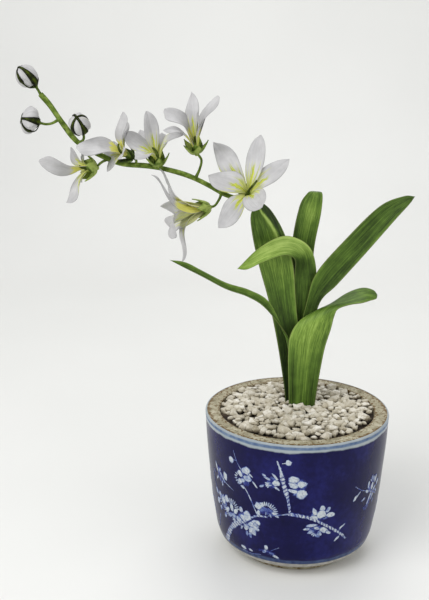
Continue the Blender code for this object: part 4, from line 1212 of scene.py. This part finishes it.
def spread_rows(plant, azimuth, path, half_at, columns, fold, twist=0.0, sway=0.0, skew=0.0, wave=0.0):
    """Rows across a petal or sepal that leaves an axis along a path in the plane of its azimuth."""
    axis, outward, side = frame_of(plant["faces"], math.radians(azimuth))
    rows = []
    for i, (radius, height) in enumerate(path):
        t = i / (len(path) - 1)
        run, rise = ahead(path, i).normalized()
        centre = Vector(plant["centre"]) + outward * radius + axis * height + side * sway * t * t
        inward = axis * run - outward * rise
        roll = math.radians(twist) * t * t
        to_side = side * math.cos(roll) + inward * math.sin(roll)
        to_inside = inward * math.cos(roll) - side * math.sin(roll)
        half = max(0.02, half_at(t))
        lean = skew * math.cos(math.pi * max(0.0, (t - 0.35) / 0.65))
        row = []
        for j in range(columns + 1):
            s = 1 - 2 * j / columns
            lift = fold * (1 - t) * half * (abs(s) ** 1.4) - 0.25 * math.exp(-(s * 5) ** 2) * min(1, half)
            lift += wave * abs(s) ** 2 * math.sin(t * 9 + azimuth + (2 if s > 0 else 0)) * t
            row.append(centre + to_side * half * (s + lean * abs(s)) + to_inside * lift)
        rows.append(row)
    return rows


def petal_rows(bloom, petal):
    azimuth, spread, length, width, curl, twist, flick, sway, skew, blunt = petal
    lean, bend = math.radians(spread), math.radians(spread + curl)
    tip = Vector((math.sin(lean), math.cos(lean))) * length
    shoulder = tip - Vector((math.sin(bend), math.cos(bend))) * length * PETAL_SHOULDER
    claw = (2.6, bloom.get("claw", CLAW_HEIGHT))
    path = curved_path([(1.0, 1.5), claw, shoulder, tip], PETAL_ROWS, flick)

    def half_at(t):
        outline = through(PETAL_POINTED, t) * (1 - blunt) + through(PETAL_BLUNT, t) * blunt
        return width / 2 * max(outline, bloom.get("heel", 0.0) * through(PETAL_HEEL, t))

    return spread_rows(bloom, azimuth, path, half_at, PETAL_COLUMNS, PETAL_FOLD,
                       twist, sway, skew, PETAL_WAVE)


def make_bloom(name, bloom, material, green):
    """Six petals round a small green throat.

    A tone of 1 or more marks a petal with a yellow patch, and one below 0 a petal with faint strokes.
    """
    shape = Shape()
    add_turned(shape, bloom, THROAT_PROFILE, TURNED_SIDES, THROAT_TONE, 1)
    half = thinned(PETAL_HALF_THICKNESS, 0.3, 4, 0.6, 4)
    for index, petal in enumerate(bloom["petals"]):
        tone = 0.1 + 0.15 * index + (index in bloom.get("patched", [])) - (index in bloom.get("faint", []))
        add_blade(shape, petal_rows(bloom, petal), half, lambda u, v: tone)
    shape.piece(name + "_petals", [material, green], [name])


def make_style(name, bloom, material):
    """The dark style that rises from the throat and leans over a petal."""
    degrees, reach, height = bloom["style"]
    turn = math.radians(degrees)
    route = [around(bloom, turn, height * rise, reach * out) for rise, out in STYLE_ROUTE]
    shape = Shape()
    add_tube(shape, smooth_curve(route, 6), lambda share: STYLE_RADIUS * (1.2 - 0.5 * share), STYLE_SIDES)
    shape.piece(name + "_style", [material], [])


def add_cup(shape, bloom):
    """The green cup under a bloom: a turned seat and five pointed sepals that overlap at their base."""
    reach, height, light, width = bloom["cup"]
    add_turned(shape, bloom, SEAT_PROFILE, TURNED_SIDES, light)
    path = curved_path([(1.6, -1.8), (reach * 0.5, -1.4), (reach * 0.72, height * 0.4), (reach, height)],
                       SEPAL_ROWS)
    for index in range(SEPAL_COUNT):
        rows = spread_rows(bloom, 360 * index / SEPAL_COUNT + SEPAL_START, path,
                           lambda t: width / 2 * through(SEPAL_OUTLINE, t), SEPAL_COLUMNS, SEPAL_FOLD)
        add_blade(shape, rows, thinned(SEPAL_HALF_THICKNESS, 0.4, 4),
                  lambda u, v: light + 0.15 - 0.45 * abs(2 * u - 1) ** 2 - 0.1 * v)


def bud_radius(bud, t, angle):
    """The bud's radius at a share of its length: its petals overlap, and its sepals draw it in."""
    near = max(math.cos(angle - math.radians(sepal)) for sepal, _ in bud["sepals"])
    groove = BUD_GROOVE * max(0.0, near) ** 8
    overlap = BUD_OVERLAP * ((angle + BUD_TWIST * t) * BUD_PETALS / math.tau % 1.0)
    return bud["radius"] * max(0.0, through(BUD_OUTLINE, t)) * (1 - groove - overlap)


def add_clasp(shape, bud):
    """The seat under a bud and the narrow sepals that lie along it and meet at its tip."""
    add_turned(shape, bud, BUD_SEAT_PROFILE, BUD_SEAT_SIDES)
    for sepal, widens in bud["sepals"]:
        angle = math.radians(sepal)
        _, outward, side = frame_of(bud["faces"], angle)
        rows = []
        for step in range(BUD_SEPAL_ROWS + 1):
            t = step / BUD_SEPAL_ROWS
            radius = bud_radius(bud, t, angle) + BUD_SEPAL_GAP + SEPAL_HALF_THICKNESS
            radius = max(1.3 - 1.2 * t, radius) * min(1.0, (1 - t) * 14 + 0.1)
            height = (bud["length"] + 0.1) * t - 0.9 * (1 - t) ** 4
            centre = around(bud, angle, height, radius)
            half = BUD_SEPAL_WIDTH / 2 * through(BUD_SEPAL_OUTLINE, t)
            half *= min(1.0, max(0.15, 1 - (widens - t) * 6))
            row = []
            for j in range(7):
                s = 1 - j / 3
                row.append(centre + side * half * s - outward * 0.3 * s ** 2)
            rows.append(row)
        add_blade(shape, rows, thinned(BUD_SEPAL_HALF_THICKNESS, 0.5, 4),
                  lambda u, v: 0.7 - 0.7 * abs(2 * u - 1), 1)


def make_stem(green, dark):
    """The stem and its pedicels, with the green cups and the buds' dark sepals."""
    shape = Shape()
    add_tube(shape, smooth_curve(STEM_ROUTE, 10),
             lambda share: STEM_RADIUS * (1.0 + 0.15 * share + 0.05 * math.sin(share * 60)), STEM_SIDES)
    for plant in [*BLOOMS.values(), *BUDS.values()]:
        add_tube(shape, smooth_curve(plant["pedicel"], 8),
                 lambda share: PEDICEL_RADIUS * (1.0 + 0.5 * (1 - share) ** 6), PEDICEL_SIDES, PEDICEL_TONE)
    for bloom in BLOOMS.values():
        add_cup(shape, bloom)
    for bud in BUDS.values():
        add_clasp(shape, bud)
    shape.piece("flower_stem", [green, dark], ["stem"], 60)


def make_bud(name, bud, material):
    """A closed bud of petals that bulge between its sepals."""
    shape = Shape()
    rings = []
    for i in range(1, BUD_RINGS):
        t = i / BUD_RINGS
        height = GAP + (bud["length"] - GAP) * t

        def place_at(turn):
            return around(bud, turn, height, bud_radius(bud, t, turn))

        rings.append(shape.ring(BUD_SEGMENTS, place_at, 0.7, BUD_TONE))
    shape.rings(rings)
    for ring, height, along in ((rings[0][::-1], GAP, 0.6), (rings[-1], bud["length"], 0.9)):
        shape.fan(ring, shape.point(around(bud, 0, height, 0), (0.5, along, 1.0), BUD_TONE))
    shape.piece(name + "_petals", [material], [name], 50)


def make_stage():
    """A pale floor that sweeps up into a backdrop."""
    material, tree = new_material("pale_floor", 0.6)
    cloud = noise_at(object_place(tree), 1.5)
    dressed(material, ramp(cloud, (0.3, 220, 220, 217), (0.7, 228, 228, 225)))
    profile = [(SWEEP_FRONT, 0.0)]
    for step in range(SWEEP_STEPS + 1):
        turn = math.pi / 2 * step / SWEEP_STEPS
        profile.append((SWEEP_BEND + SWEEP_RADIUS * math.sin(turn), SWEEP_RADIUS * (1 - math.cos(turn))))
    profile.append((SWEEP_BEND + SWEEP_RADIUS, SWEEP_TOP))
    points = [(x, y, z - SWEEP_DROP) for y, z in profile for x in (-SWEEP_SIDE, SWEEP_SIDE)]
    faces = [(2 * i, 2 * i + 1, 2 * i + 3, 2 * i + 2) for i in range(len(profile) - 1)]
    mesh = new_mesh("studio_sweep", points, faces, [material])
    mesh.shade_smooth()
    new_object("studio_sweep", mesh)


def add_light(name, place, size, energy):
    """A soft square light that points at the middle of the plant."""
    data = bpy.data.lights.new(name, "AREA")
    data.size = size
    data.energy = energy
    item = new_object(name, data)
    item.location = place
    item.rotation_mode = "QUATERNION"
    item.rotation_quaternion = (Vector(place) - Vector(LIGHTS_AIM)).to_track_quat("Z", "Y")


def make_studio():
    """The camera, the lights and a pale even surrounding."""
    scene = bpy.context.scene
    data = bpy.data.cameras.new("camera")
    data.lens = CAMERA_LENS
    camera = new_object("camera", data)
    camera.location = CAMERA_PLACE
    camera.rotation_euler = (math.radians(90 - CAMERA_PITCH), 0, 0)
    scene.camera = camera
    for light in LIGHTS:
        add_light(*light)
    world = bpy.data.worlds.new("studio")
    world.use_nodes = True
    background = world.node_tree.nodes["Background"]
    background.inputs[0].default_value = SKY_COLOUR
    background.inputs[1].default_value = SKY_STRENGTH
    scene.world = world
    scene.view_settings.view_transform = "Standard"


def build():
    make_studio()
    make_stage()
    glaze, clay = glaze_material(), clay_material()
    stone, soil = stone_material(), soil_material()
    leaf, petal = leaf_material(), petal_material()
    green = green_material("stem_green_paint", (40, 52, 14), (92, 114, 40), (152, 168, 86))
    dark = green_material("dark_sepal", (8, 10, 0), (32, 40, 2), (72, 86, 8))
    olive = green_material("olive_style", (28, 34, 10), (62, 74, 24), (104, 120, 44))
    make_pot(glaze, clay)
    make_painting(paint_material())
    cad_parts["soil"].data.materials.clear()
    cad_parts["soil"].data.materials.append(soil)
    make_gravel(stone, soil)
    for name, shape in LEAVES.items():
        make_leaf(name, shape, leaf)
    make_stem(green, dark)
    for name, bloom in BLOOMS.items():
        make_bloom(name, bloom, petal, green)
        make_style(name, bloom, olive)
    for name, bud in BUDS.items():
        make_bud(name, bud, petal)


build()
